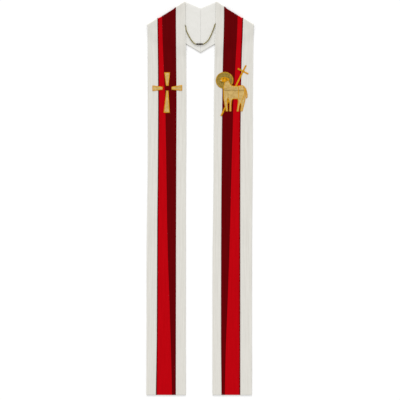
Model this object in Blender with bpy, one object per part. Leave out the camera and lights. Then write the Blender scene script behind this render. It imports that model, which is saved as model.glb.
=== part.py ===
"""A clerical stole laid flat: two pieced strips, folded back at the shoulders and seamed at the centre back.

The stole lies face up on the plane z = 0. X runs across it, +Y from the hems to the neck, and +Z up.
Each half is one strip of face cloth, pieced from five lengths, over its own lining. It runs up the front,
turns round the shoulder fold and comes back underneath to the centre-back seam.
"""

import math

import bmesh
import bpy
from mathutils import Vector
from mathutils.geometry import interpolate_bezier

MM = 0.001

# The whole stole, in metres.
LENGTH = 1.378
FOLD_ANGLE = math.radians(31.6)
BACK_NECK_ANGLE = math.radians(23.0)
BACK_LOWER_ANGLE = math.radians(25.6)
BACK_FLARE = 0.0095
FLARE_POWER = 3
EDGING_WIDTH = 0.0032

# The layers of cloth.
FACE = 0.0012
LINING = 0.0010
GAP = 0.0003
LAYER_CLEARANCE = 0.0005
LINING_INSET = 0.0010
LINING_JOIN = 0.0006
FOLD_RADIUS = 0.0020
FOLD_REACH = 0.028
DROP_REACH = 0.045
DROP_START = 0.006

# The fold dips a little across the thinner coloured bands, between short ramps at both of their sides.
FOLD_DIP = 0.0028
DIP_RAMP = 0.008
DIP_REACH = 0.060
BACK_DIP_SHARE = 0.35

# How far down from the fold the rows of a front stay slanted, and how many rows each stretch has.
SLANT_REACH = 0.345
UPPER_ROWS = 20
UPPER_CROWDING = 1.25
FOLD_ROWS = 8
BACK_ROWS = 7
SLANT_PASSES = 8
SHARP_EDGE = math.radians(40)

# Sections across each front, in millimetres: the height above the hem, and then the distances out from the
# centre-back seam of the neck edge, the dark band, the join of the two bands, the edging and the outer edge.
SECTION_COLUMNS = ("height", "neck", "dark", "join", "edging", "outer")
LEFT_SECTIONS = (
    (0, 51.6, 86.5, 99.5, 156.4, 190.0),
    (165, 51.8, 86.3, 103.6, 153.8, 189.2),
    (333, 51.8, 86.0, 108.8, 152.7, 189.0),
    (500, 51.8, 85.8, 114.7, 152.0, 188.8),
    (626, 51.8, 85.4, 117.1, 151.4, 187.2),
    (752, 51.6, 85.0, 118.8, 150.0, 185.2),
    (878, 50.4, 84.7, 120.9, 149.0, 184.8),
    (1032, 50.1, 84.0, 123.5, 148.2, 184.8),
    (1172, 50.6, 85.1, 130.0, 149.2, 185.2),
    (1291, 52.8, 86.1, 134.2, 150.8, 185.8),
    (1378, 53.2, 86.1, 134.5, 150.8, 186.0),
)
RIGHT_SECTIONS = (
    (0, 41.6, 73.2, 84.4, 139.0, 179.6),
    (165, 41.6, 71.4, 88.0, 139.0, 179.6),
    (333, 41.6, 71.4, 94.7, 139.0, 179.6),
    (500, 42.0, 71.7, 100.6, 139.0, 179.7),
    (626, 44.2, 72.3, 103.8, 139.0, 180.3),
    (752, 45.6, 73.0, 106.9, 139.2, 181.8),
    (878, 46.0, 74.2, 110.7, 139.4, 182.4),
    (1032, 47.0, 75.9, 114.8, 141.0, 182.4),
    (1172, 48.8, 77.9, 122.6, 143.5, 183.8),
    (1291, 52.8, 81.7, 129.0, 148.4, 185.6),
    (1378, 53.2, 82.3, 129.8, 149.4, 185.9),
)

# The strips of face cloth, from the neck out: name, inner seam, outer seam, places of its lines, material.
STRIP_COLUMNS = ("name", "inner", "outer", "shares", "material")
STRIPS = (
    ("ivory_neck_strip", "neck", "dark", (0.0, 0.5, 1.0), "ivory_cloth"),
    ("dark_band", "dark", "join", (0.0, 0.17, 0.5, 1.0), "dark_red_cloth"),
    ("bright_band", "join", "bright", (0.0, 0.5, 1.0), "bright_red_cloth"),
    ("edging", "bright", "edging", (0.0, 1.0), "dark_red_cloth"),
    ("ivory_outer_strip", "edging", "outer", (0.0, 0.5, 1.0), "ivory_cloth"),
)

# The embroidery. Each applied piece lies on the one below it with a gap.
APPLIED = 0.0007
PADDED = 0.0009
CROSS_CENTRE = (-0.1145, 0.3845)
# The arms of the cross: name, heading in degrees, and in millimetres the start, end, narrow and wide widths
# and the sideways lean of the wide end.
CROSS_ARMS = (
    ("cross_head", 90, 8.5, 55.5, 10.0, 22.5, 0.0),
    ("cross_foot", 270, 8.5, 86.5, 9.5, 24.0, 2.0),
    ("cross_arm_outer", 180, 16.0, 53.0, 10.0, 20.5, 0.0),
    ("cross_arm_inner", 0, 14.0, 53.0, 10.0, 20.5, 0.0),
)
LAMB_CENTRE = (0.1155, 0.3735)
HALO_CENTRE = (-29.0, 39.5)
HALO_RADIUS = 30.5
HALO_SIDES = 48
# Outlines round the lamb's centre, in millimetres. A corner keeps its point, and a smooth point is rounded.
BODY_OUTLINE = (
    ("corner", -29.5, 33.0),
    ("smooth", -32.5, 10.0),
    ("smooth", -31.0, -14.0),
    ("smooth", -27.5, -32.0),
    ("corner", -24.5, -70.0),
    ("corner", -17.0, -70.0),
    ("smooth", -18.0, -44.0),
    ("smooth", -16.5, -24.0),
    ("smooth", -14.5, -44.0),
    ("corner", -13.5, -70.0),
    ("corner", -5.5, -70.0),
    ("smooth", -3.5, -32.0),
    ("smooth", 7.0, -24.0),
    ("smooth", 18.0, -31.0),
    ("corner", 12.5, -70.0),
    ("corner", 20.5, -70.0),
    ("smooth", 24.0, -50.0),
    ("smooth", 26.5, -42.0),
    ("smooth", 27.0, -52.0),
    ("corner", 25.0, -70.0),
    ("corner", 33.5, -70.0),
    ("smooth", 41.0, -38.0),
    ("smooth", 44.5, -14.0),
    ("smooth", 43.0, 10.0),
    ("smooth", 35.0, 20.5),
    ("smooth", 14.0, 19.0),
    ("smooth", -4.0, 20.5),
    ("smooth", -11.0, 30.0),
    ("corner", -15.0, 41.0),
)
HEAD_OUTLINE = (
    ("smooth", -45.5, 37.0),
    ("smooth", -38.0, 33.5),
    ("smooth", -28.0, 33.0),
    ("smooth", -20.0, 37.0),
    ("smooth", -13.0, 40.0),
    ("smooth", -13.5, 44.5),
    ("smooth", -21.0, 46.5),
    ("smooth", -28.0, 50.0),
    ("smooth", -37.0, 48.0),
    ("smooth", -44.0, 42.5),
)
TAIL_OUTLINE = (
    ("smooth", 44.6, 12.5),
    ("smooth", 48.0, 2.0),
    ("smooth", 50.6, -10.0),
    ("smooth", 50.0, -21.0),
    ("smooth", 46.5, -24.5),
    ("smooth", 46.0, -14.0),
    ("smooth", 45.5, -2.0),
)
CURVE_STEPS = 4
# A smooth curve's handles reach this share of the way between the points beside it.
HANDLE_SHARE = 1 / 6
STAFF_FOOT = (-42.0, -86.0)
STAFF_TOP = (45.5, 91.5)
STAFF_CROSSING = (34.0, 71.0)
STAFF_BAR_HALF = 20.5
STAFF_BAR_TURN = math.radians(-27.0)
STAFF_WIDTH = 4.2

# The hanger chain that joins the neck edges, and the bar at its middle.
CHAIN_DIAMETER = 0.0036
CHAIN_BAR = (0.0240, 0.0058, 0.0032)
CHAIN_BAR_CENTRE = (-0.0018, 0.5389)
CHAIN_BAR_BEVEL = 0.0012
CHAIN_STEP = 0.0076
CHAIN_DIVISIONS = 32
# The route of each side of the chain, from the bar to the neck edge, in millimetres: out from the bar's
# middle, and up from it. The bar lies a little to one side, so the two sides differ.
CHAIN_ROUTES = {
    "left": (
        (13.4, 0.0),
        (17.6, 1.9),
        (22.4, 5.6),
        (27.0, 10.0),
        (32.3, 16.8),
        (36.5, 23.8),
        (40.0, 30.9),
        (43.2, 38.2),
        (45.6, 45.5),
        (46.5, 53.0),
        (46.6, 60.0),
    ),
    "right": (
        (13.4, 0.0),
        (17.8, 2.0),
        (23.4, 5.7),
        (28.4, 10.3),
        (33.4, 16.6),
        (37.6, 23.8),
        (41.2, 31.0),
        (44.4, 38.4),
        (47.4, 46.0),
        (50.4, 53.8),
        (52.5, 60.5),
        (54.2, 67.5),
    ),
}

MATERIALS = {
    "ivory_cloth": ((0.75, 0.74, 0.70), 0.85, 0.0),
    "lining_cloth": ((0.78, 0.76, 0.71), 0.6, 0.0),
    "bright_red_cloth": ((0.50, 0.003, 0.006), 0.8, 0.0),
    "dark_red_cloth": ((0.115, 0.003, 0.004), 0.8, 0.0),
    "gold_brocade": ((0.62, 0.44, 0.17), 0.5, 0.2),
    "gold_satin": ((0.62, 0.33, 0.05), 0.4, 0.2),
    "brass": ((0.42, 0.33, 0.15), 0.35, 1.0),
    "dark_bronze": ((0.07, 0.05, 0.035), 0.45, 1.0),
}

FOLD_OUTSIDE = FOLD_RADIUS + GAP / 2 + FACE
AXIS_HEIGHT = LENGTH - FOLD_OUTSIDE * math.cos(FOLD_ANGLE)
LAYERS = FACE + GAP + LINING
FRONT_LEVEL = LINING + GAP / 2
BACK_LEVEL = FACE + GAP / 2
OVER_BACK = LAYERS + LAYER_CLEARANCE
FOLD_BULGE = BACK_LEVEL + 2 * FOLD_RADIUS - FRONT_LEVEL - OVER_BACK
HEM_Y = -LENGTH / 2


def clear_scene():
    for thing in list(bpy.data.objects):
        bpy.data.objects.remove(thing, do_unlink=True)


def make_materials():
    made = {}
    for name, (colour, roughness, metallic) in MATERIALS.items():
        material = bpy.data.materials.new(name)
        material.use_nodes = True
        shader = material.node_tree.nodes["Principled BSDF"]
        shader.inputs["Base Color"].default_value = (*colour, 1.0)
        shader.inputs["Roughness"].default_value = roughness
        shader.inputs["Metallic"].default_value = metallic
        made[name] = material
    return made


def ease(x):
    """0 below 0, 1 above 1, and a smooth rise between."""
    x = min(max(x, 0.0), 1.0)
    return x * x * (3 - 2 * x)


def blend(a, b, share):
    return a + (b - a) * share


class Half:
    """One half of the stole. A plan point is (out from the centre-back seam, height above the hem)."""

    def __init__(self, side, sign, sections):
        self.side = side
        self.sign = sign
        self.sections = [dict(zip(SECTION_COLUMNS, (v * MM for v in row))) for row in sections]
        self.neck_end = self.front_plan(("neck", "neck", 0.0, 0.0), 0.0)
        self.outer_end = self.front_plan(("outer", "outer", 0.0, 0.0), 0.0)

    def seam(self, name, height):
        """How far out a seam or an edge lies at a height."""
        if name == "bright":
            return self.seam("edging", height) - EDGING_WIDTH
        for low, high in zip(self.sections, self.sections[1:]):
            if height <= high["height"]:
                break
        share = (height - low["height"]) / (high["height"] - low["height"])
        return blend(low[name], high[name], share)

    def out_at(self, line, height):
        """How far out a lengthwise line lies: a share of the way from one seam to another, clear of both."""
        inner, outer, share, clear = line
        return blend(self.seam(inner, height) + clear, self.seam(outer, height) - clear, share)

    def front_plan(self, line, drop):
        """Where a line crosses the row that leaves the neck edge this far below the fold."""
        start = AXIS_HEIGHT - drop
        slope = math.tan(FOLD_ANGLE) * (1 - ease(drop / SLANT_REACH))
        dipped = 1 - ease(drop / DIP_REACH)
        neck = self.seam("neck", start)
        height = start
        for _ in range(SLANT_PASSES):
            out = self.out_at(line, height)
            height = start - slope * (out - neck) - self.fold_dip(out) * dipped
        return out, height

    def fold_dip(self, out):
        """How far the shoulder fold dips at a distance out from the centre-back seam."""
        rise = ease((out - self.seam("dark", AXIS_HEIGHT)) / DIP_RAMP)
        fall = ease((self.seam("edging", AXIS_HEIGHT) - out) / DIP_RAMP)
        return FOLD_DIP * rise * fall

    def back_lower(self, out):
        """The height of the back's lower edge."""
        run = self.outer_end[0] - out
        flare = BACK_FLARE * (run / self.outer_end[0]) ** FLARE_POWER
        return self.outer_end[1] - math.tan(BACK_LOWER_ANGLE) * run - flare

    def back_neck(self, out):
        """The height of the back's neck edge."""
        return self.neck_end[1] - math.tan(BACK_NECK_ANGLE) * (self.neck_end[0] - out)

    def front_lift(self, out, height):
        """How far the front is raised, by the back underneath it and by the roll of the fold."""
        beyond = (self.back_lower(out) - height) * math.cos(BACK_LOWER_ANGLE)
        axis = self.neck_end[1] - math.tan(FOLD_ANGLE) * (out - self.neck_end[0]) - self.fold_dip(out)
        below_fold = (axis - height) * math.cos(FOLD_ANGLE)
        over_back = OVER_BACK * (1 - ease((beyond - DROP_START) / DROP_REACH))
        return over_back + FOLD_BULGE * (1 - ease(below_fold / FOLD_REACH))

    def world(self, plan, level):
        out, height = plan
        return Vector((SEAM_X + self.sign * out, HEM_Y + height, level))

    def cloth_point(self, line, row):
        """A point of the surface between the face cloth and the lining."""
        stretch, value = row
        if stretch == "front":
            plan = self.front_plan(line, value)
            return self.world(plan, FRONT_LEVEL + self.front_lift(*plan))
        start = self.front_plan(line, 0.0)
        if stretch == "fold":
            away = FOLD_RADIUS * math.sin(value)
            plan = (start[0] + away * math.sin(FOLD_ANGLE), start[1] + away * math.cos(FOLD_ANGLE))
            return self.world(plan, BACK_LEVEL + FOLD_RADIUS * (1 + math.cos(value)))
        share = (start[0] - self.neck_end[0]) / (self.outer_end[0] - self.neck_end[0])
        neck_out = blend(self.neck_end[0], GAP / 2, value)
        lower_out = blend(self.outer_end[0], GAP / 2, value)
        out = blend(neck_out, lower_out, share)
        height = blend(self.back_neck(neck_out), self.back_lower(lower_out), share)
        height -= self.fold_dip(start[0]) * (1 - ease(value / BACK_DIP_SHARE))
        return self.world((out, height), BACK_LEVEL)

    def face_top(self, x, y):
        """The level of the face cloth's top on the front, at a point of the plane."""
        out = self.sign * (x - SEAM_X)
        return FRONT_LEVEL + self.front_lift(out, y - HEM_Y) + GAP / 2 + FACE


def outward_reach(sections):
    """How far out a half reaches at most, which is at its hem or at the end of its shoulder fold."""
    outer = SECTION_COLUMNS.index("outer")
    return max(row[outer] for row in sections) * MM


# The stole is centred on the origin, so the centre-back seam stands a little to one side of it.
SEAM_X = (outward_reach(LEFT_SECTIONS) - outward_reach(RIGHT_SECTIONS)) / 2


def front_rows(half):
    """The rows of one strip, from the hem up the front and round the fold."""
    straight = [s["height"] for s in half.sections if s["height"] < AXIS_HEIGHT - SLANT_REACH]
    hem_rows = [("front", AXIS_HEIGHT - height) for height in straight]
    upper = [("front", SLANT_REACH * (i / UPPER_ROWS) ** UPPER_CROWDING) for i in range(UPPER_ROWS, 0, -1)]
    fold = [("fold", math.pi * i / FOLD_ROWS) for i in range(FOLD_ROWS + 1)]
    return hem_rows + upper + fold


def back_rows():
    """The rows of one strip along the back, from beyond the fold to the centre-back seam."""
    return [("back", i / BACK_ROWS) for i in range(1, BACK_ROWS + 1)]


def surface_normals(grid, sign):
    """The direction out of the right side of the cloth at each point of a grid of rows."""
    last_row, last_line = len(grid) - 1, len(grid[0]) - 1
    normals = []
    for i, row in enumerate(grid):
        ahead, behind = grid[min(i + 1, last_row)], grid[max(i - 1, 0)]
        found = []
        for j in range(len(row)):
            along = ahead[j] - behind[j]
            across = row[min(j + 1, last_line)] - row[max(j - 1, 0)]
            found.append((sign * across.cross(along)).normalized())
        normals.append(found)
    return normals


def new_object(name, mesh_maker, material):
    mesh = bpy.data.meshes.new(name)
    shape = bmesh.new()
    mesh_maker(shape)
    bmesh.ops.recalc_face_normals(shape, faces=shape.faces)
    shape.to_mesh(mesh)
    shape.free()
    mesh.materials.append(material)
    made = bpy.data.objects.new(name, mesh)
    bpy.context.scene.collection.objects.link(made)
    return made


def cloth_wall(name, half, lines, rows, low, high, material):
    """A closed wall of cloth between two offsets from the middle surface."""
    grid = [[half.cloth_point(line, row) for line in lines] for row in rows]
    normals = surface_normals(grid, half.sign)

    def shape_wall(shape):
        sheets = []
        for offset in (low, high):
            pairs = [zip(points, facing) for points, facing in zip(grid, normals)]
            sheets.append([[shape.verts.new(p + n * offset) for p, n in row] for row in pairs])
        for under, over in zip(*sheets):
            for j in range(len(lines) - 1):
                if under is sheets[0][0] or under is sheets[0][-1]:
                    shape.faces.new((under[j], under[j + 1], over[j + 1], over[j]))
        for i in range(len(grid) - 1):
            for sheet in sheets:
                for j in range(len(lines) - 1):
                    corners = (sheet[i][j], sheet[i][j + 1], sheet[i + 1][j + 1], sheet[i + 1][j])
                    shape.faces.new(corners)
            for j in (0, len(lines) - 1):
                corners = (sheets[0][i][j], sheets[0][i + 1][j], sheets[1][i + 1][j], sheets[1][i][j])
                shape.faces.new(corners)

    made = new_object(name, shape_wall, material)
    made.data.shade_smooth()
    made.data.set_sharp_from_angle(angle=SHARP_EDGE)
    return made


def make_face_strips(half, materials):
    rows = front_rows(half) + back_rows()
    for row in STRIPS:
        strip = dict(zip(STRIP_COLUMNS, row))
        lines = [(strip["inner"], strip["outer"], share, GAP / 2) for share in strip["shares"]]
        name = f"{strip['name']}_{half.side}"
        cloth_wall(name, half, lines, rows, GAP / 2, GAP / 2 + FACE, materials[strip["material"]])


def make_lining(half, materials):
    """The lining, in two lengths that meet where the back leaves the fold.

    Its lines lie under those of the face strips, so that the walls stay parallel.
    """
    lines = []
    for row in STRIPS:
        strip = dict(zip(STRIP_COLUMNS, row))
        for share in strip["shares"][:-1]:
            lines.append((strip["inner"], strip["outer"], share, 0.0))
    lines[0] = ("neck", "dark", 0.0, LINING_INSET)
    lines.append(("edging", "outer", 1.0, LINING_INSET))
    lengths = {
        f"lining_{half.side}": front_rows(half),
        f"lining_back_{half.side}": [("back", LINING_JOIN / half.neck_end[0]), *back_rows()],
    }
    for name, rows in lengths.items():
        cloth_wall(name, half, lines, rows, -GAP / 2 - LINING, -GAP / 2, materials["lining_cloth"])


def applied_piece(name, half, outline, below, thickness, material):
    """A flat piece with this outline, laid on the front at a height above its face cloth."""

    def shape_piece(shape):
        rings = []
        for rise in (below, below + thickness):
            rings.append([shape.verts.new((x, y, half.face_top(x, y) + rise)) for x, y in outline])
        bottom, top = rings
        shape.faces.new(list(reversed(bottom)))
        shape.faces.new(top)
        for i in range(len(outline)):
            shape.faces.new((bottom[i - 1], bottom[i], top[i], top[i - 1]))

    return new_object(name, shape_piece, material)


def placed(points, centre):
    return [(centre[0] + x * MM, centre[1] + y * MM) for x, y in points]


def smooth_outline(rows):
    """The points of an outline. Between two points the curve heads the way that its neighbours lie."""
    count = len(rows)
    points = [Vector((x, y)) for _, x, y in rows]
    found = []
    for i in range(count):
        here, there = points[i], points[(i + 1) % count]
        heading_here = (there - points[i - 1]) * HANDLE_SHARE
        heading_there = (points[(i + 2) % count] - here) * HANDLE_SHARE
        if rows[i][0] == "corner":
            heading_here = (there - here) * HANDLE_SHARE
        if rows[(i + 1) % count][0] == "corner":
            heading_there = (there - here) * HANDLE_SHARE
        if rows[i][0] == rows[(i + 1) % count][0] == "corner":
            found.append(here)
            continue
        curve = interpolate_bezier(here, here + heading_here, there - heading_there, there, CURVE_STEPS + 1)
        found.extend(curve[:-1])
    return [(p.x, p.y) for p in found]


def make_cross(half, materials):
    for name, heading, start, end, narrow, wide, lean in CROSS_ARMS:
        corners = (
            (start, -narrow / 2),
            (end, -wide / 2 - lean),
            (end, wide / 2 - lean),
            (start, narrow / 2),
        )
        turn = math.radians(heading)
        outline = []
        for along, across in corners:
            x = along * math.cos(turn) - across * math.sin(turn)
            y = along * math.sin(turn) + across * math.cos(turn)
            outline.append((x, y))
        applied_piece(name, half, placed(outline, CROSS_CENTRE), GAP, APPLIED, materials["gold_brocade"])


def staff_outline():
    """A plain shaft with a bar across it near the top, as one outline."""
    foot, top, crossing = Vector(STAFF_FOOT), Vector(STAFF_TOP), Vector(STAFF_CROSSING)
    along = (top - foot).normalized()
    aside = Vector((along.y, -along.x))
    centre = foot + along * (crossing - foot).dot(along)
    bar = Vector((math.cos(STAFF_BAR_TURN), math.sin(STAFF_BAR_TURN)))
    half = STAFF_WIDTH / 2
    # Each inner corner is where an edge of the bar meets an edge of the shaft.
    up = Vector((-bar.y, bar.x))
    rise = along.dot(up)
    inner = {}
    for side in (1, -1):
        for level in (1, -1):
            step = (half * level - side * half * aside.dot(up)) / rise
            inner[side, level] = centre + aside * half * side + along * step
    reach = bar * STAFF_BAR_HALF
    points = [foot - aside * half, foot + aside * half, inner[1, -1]]
    points += [centre + reach - up * half, centre + reach + up * half, inner[1, 1]]
    points += [top + aside * half, top - aside * half, inner[-1, 1]]
    points += [centre - reach + up * half, centre - reach - up * half, inner[-1, -1]]
    return [(p.x, p.y) for p in points]


def halo_outline():
    turns = [math.tau * i / HALO_SIDES for i in range(HALO_SIDES)]
    x, y = HALO_CENTRE
    return [(x + HALO_RADIUS * math.cos(t), y + HALO_RADIUS * math.sin(t)) for t in turns]


def make_lamb(half, materials):
    """The halo and the staff lie on the bands, the body over them, and the head over the body's neck."""
    second = GAP + APPLIED + GAP
    third = second + PADDED + GAP
    rows = (
        ("lamb_halo", halo_outline(), GAP, APPLIED, "gold_satin"),
        ("lamb_staff", staff_outline(), GAP, APPLIED, "gold_satin"),
        ("lamb_tail", smooth_outline(TAIL_OUTLINE), GAP, APPLIED, "gold_brocade"),
        ("lamb_body", smooth_outline(BODY_OUTLINE), second, PADDED, "gold_brocade"),
        ("lamb_head", smooth_outline(HEAD_OUTLINE), third, APPLIED, "gold_satin"),
    )
    for name, outline, below, thickness, material in rows:
        applied_piece(name, half, placed(outline, LAMB_CENTRE), below, thickness, materials[material])


def evenly_spaced(route, step):
    """Points a step apart along a smooth curve through the route."""
    fine = []
    count = len(route)
    for i in range(count - 1):
        before, here = route[max(i - 1, 0)], route[i]
        there, after = route[i + 1], route[min(i + 2, count - 1)]
        leaving = here + (there - before) * HANDLE_SHARE
        arriving = there - (after - here) * HANDLE_SHARE
        fine.extend(interpolate_bezier(here, leaving, arriving, there, CHAIN_DIVISIONS + 1)[:-1])
    fine.append(route[-1])
    lengths = [0.0]
    for a, b in zip(fine, fine[1:]):
        lengths.append(lengths[-1] + (b - a).length)
    pieces = max(1, round(lengths[-1] / step))
    points = []
    at = 0
    for i in range(pieces + 1):
        wanted = lengths[-1] * i / pieces
        while at < len(fine) - 2 and lengths[at + 1] < wanted:
            at += 1
        share = (wanted - lengths[at]) / (lengths[at + 1] - lengths[at])
        points.append(fine[at].lerp(fine[at + 1], share))
    return points


def make_chain(side, sign, level, materials):
    """One side of the hanger chain, from the bar to the neck edge of a front, as a plain tube."""
    x, y = CHAIN_BAR_CENTRE
    route = [Vector((x + sign * out * MM, y + up * MM, level)) for out, up in CHAIN_ROUTES[side]]
    points = evenly_spaced(route, CHAIN_STEP)
    curve = bpy.data.curves.new(f"chain_{side}", "CURVE")
    curve.dimensions = "3D"
    curve.bevel_depth = CHAIN_DIAMETER / 2
    curve.bevel_resolution = 2
    curve.use_fill_caps = True
    spline = curve.splines.new("POLY")
    spline.points.add(len(points) - 1)
    for target, point in zip(spline.points, points):
        target.co = (*point, 1.0)
    curve.materials.append(materials["brass"])
    bpy.context.scene.collection.objects.link(bpy.data.objects.new(f"chain_{side}", curve))


def make_chain_bar(bottom, materials):
    middle = (*CHAIN_BAR_CENTRE, bottom + CHAIN_BAR[2] / 2)

    def shape_bar(shape):
        bmesh.ops.create_cube(shape, size=1.0)
        bmesh.ops.scale(shape, vec=CHAIN_BAR, verts=shape.verts)
        bmesh.ops.translate(shape, vec=middle, verts=shape.verts)
        bmesh.ops.bevel(
            shape, geom=shape.edges[:], offset=CHAIN_BAR_BEVEL, segments=2, profile=0.5, affect="EDGES"
        )

    return new_object("chain_bar", shape_bar, materials["dark_bronze"])


def main():
    clear_scene()
    materials = make_materials()
    left = Half("left", -1, LEFT_SECTIONS)
    right = Half("right", 1, RIGHT_SECTIONS)
    for half in (left, right):
        make_face_strips(half, materials)
        make_lining(half, materials)
    make_cross(left, materials)
    make_lamb(right, materials)
    on_lining = BACK_LEVEL + GAP / 2 + LINING + GAP
    for half in (left, right):
        make_chain(half.side, half.sign, on_lining + CHAIN_DIAMETER / 2, materials)
    make_chain_bar(on_lining, materials)


main()
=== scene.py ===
# %% [markdown]
# # A clerical stole laid flat
# A stole is a long band of cloth that hangs from the shoulders. This one is lined, pieced from
# ivory and red strips, and embroidered in gold with a cross and a lamb. It lies face up: each
# half runs up the front, folds over at the shoulder and comes back underneath to a seam at the
# centre back, where its lining shows.
#
# The imported CAD model is the frame that everything is placed in, so it is loaded first.

# %% Load the frame
import math

import bmesh
import bpy
import numpy as np
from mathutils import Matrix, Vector
from mathutils.geometry import delaunay_2d_cdt, interpolate_bezier


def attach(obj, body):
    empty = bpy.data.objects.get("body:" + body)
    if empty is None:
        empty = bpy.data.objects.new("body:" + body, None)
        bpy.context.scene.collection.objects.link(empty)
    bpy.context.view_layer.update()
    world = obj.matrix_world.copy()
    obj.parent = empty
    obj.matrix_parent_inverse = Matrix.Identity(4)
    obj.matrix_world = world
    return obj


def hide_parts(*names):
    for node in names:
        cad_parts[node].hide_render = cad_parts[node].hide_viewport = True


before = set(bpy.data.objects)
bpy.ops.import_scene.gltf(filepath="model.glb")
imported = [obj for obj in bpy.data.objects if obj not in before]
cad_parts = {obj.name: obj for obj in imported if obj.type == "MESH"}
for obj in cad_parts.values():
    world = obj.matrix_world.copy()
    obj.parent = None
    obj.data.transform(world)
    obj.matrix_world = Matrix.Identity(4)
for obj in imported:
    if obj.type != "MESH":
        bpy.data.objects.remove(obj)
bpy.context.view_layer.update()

MM = 0.001
scene = bpy.context.scene
print("CAD nodes:", len(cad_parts))

# %% [markdown]
# ## The camera
# The stole is seen from straight above. A long lens keeps its long sides parallel. The distance
# follows from the width to be seen: at that distance the sensor's width spans VIEW_WIDTH at the
# level of the cloth.

# %% Camera
VIEW_WIDTH = 1.4
VIEW_LEVEL = 0.0025
VIEW_CENTRE_Y = -0.0065
LENS = 100.0
SENSOR = 36.0

camera = bpy.data.objects.new("camera", bpy.data.cameras.new("camera"))
camera.data.lens = LENS
camera.data.sensor_width = SENSOR
camera.location = (0.0, VIEW_CENTRE_Y, VIEW_WIDTH * LENS / SENSOR + VIEW_LEVEL)
scene.collection.objects.link(camera)
scene.camera = camera
scene.view_settings.view_transform = "Standard"
print("camera height:", round(camera.location.z, 3))

# %% [markdown]
# ## The pattern of the stole
# A pattern cutter would measure each half at several heights above the hem. The tables give those
# measurements, in millimetres out from the centre-back seam. All later pieces are worked out from
# them, so neighbouring strips always share one seam line.

# %% Sizes and sections
LENGTH = 1.378
FOLD_ANGLE = math.radians(31.6)
BACK_NECK_ANGLE = math.radians(23.0)
BACK_LOWER_ANGLE = math.radians(24.4)
BACK_FLARE = 0.0118
FLARE_POWER = 3
EDGING_WIDTH = 3.2 * MM
FACE = 1.2 * MM
LINING = 1.0 * MM
GAP = 0.3 * MM
SEAM_CLEARANCE = 0.02 * MM
LAYER_CLEARANCE = 0.5 * MM
LINING_INSET = 1.0 * MM
FOLD_RADIUS = 2.0 * MM
FOLD_REACH = 28 * MM
DROP_REACH = 45 * MM
DROP_START = 6 * MM
SLANT_REACH = 345 * MM
FOLD_DIP = 2.8 * MM
DIP_RAMP = 8 * MM
DIP_REACH = 60 * MM
BACK_DIP_SHARE = 0.35

SECTION_COLUMNS = ("height", "neck", "dark", "join", "edging", "outer")
LEFT_SECTIONS = (
    (0, 51.6, 86.5, 99.5, 156.4, 190.0),
    (165, 51.8, 86.3, 103.6, 153.8, 189.2),
    (333, 51.8, 86.0, 108.8, 152.7, 189.0),
    (500, 51.8, 85.8, 114.7, 152.0, 188.8),
    (626, 51.8, 85.4, 117.1, 151.4, 187.2),
    (752, 51.6, 85.0, 118.8, 150.0, 185.2),
    (878, 50.4, 84.7, 120.9, 149.0, 184.8),
    (1032, 50.1, 84.0, 123.5, 148.2, 184.8),
    (1172, 50.6, 85.1, 130.0, 149.2, 185.2),
    (1291, 52.8, 86.1, 134.2, 150.8, 185.8),
    (1378, 53.2, 86.1, 134.5, 150.8, 186.0),
)
RIGHT_SECTIONS = (
    (0, 41.6, 73.2, 84.4, 139.0, 179.6),
    (165, 41.6, 71.4, 88.0, 139.0, 179.6),
    (333, 41.6, 71.4, 94.7, 139.0, 179.6),
    (500, 42.0, 71.7, 100.6, 139.0, 179.7),
    (626, 44.2, 72.3, 103.8, 139.0, 180.3),
    (752, 45.6, 73.0, 106.9, 139.2, 181.8),
    (878, 46.0, 74.2, 110.7, 139.4, 182.4),
    (1032, 47.0, 75.9, 114.8, 141.0, 182.4),
    (1172, 48.8, 77.9, 122.6, 143.5, 183.8),
    (1291, 52.8, 81.7, 129.0, 148.4, 185.6),
    (1378, 53.2, 82.3, 129.8, 149.4, 185.9),
)
FOLD_OUTSIDE = FOLD_RADIUS + GAP / 2 + FACE
AXIS_HEIGHT = LENGTH - FOLD_OUTSIDE * math.cos(FOLD_ANGLE)
FRONT_LEVEL = LINING + GAP / 2
BACK_LEVEL = FACE + GAP / 2
OVER_BACK = FACE + GAP + LINING + LAYER_CLEARANCE
FOLD_BULGE = BACK_LEVEL + 2 * FOLD_RADIUS - FRONT_LEVEL - OVER_BACK
HEM_Y = -LENGTH / 2
SEAM_X = (LEFT_SECTIONS[0][-1] - RIGHT_SECTIONS[-1][-1]) * MM / 2
print("shoulder fold's axis:", round(AXIS_HEIGHT, 4), "m above the hem")
print("centre-back seam: x =", round(SEAM_X, 5))
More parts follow.
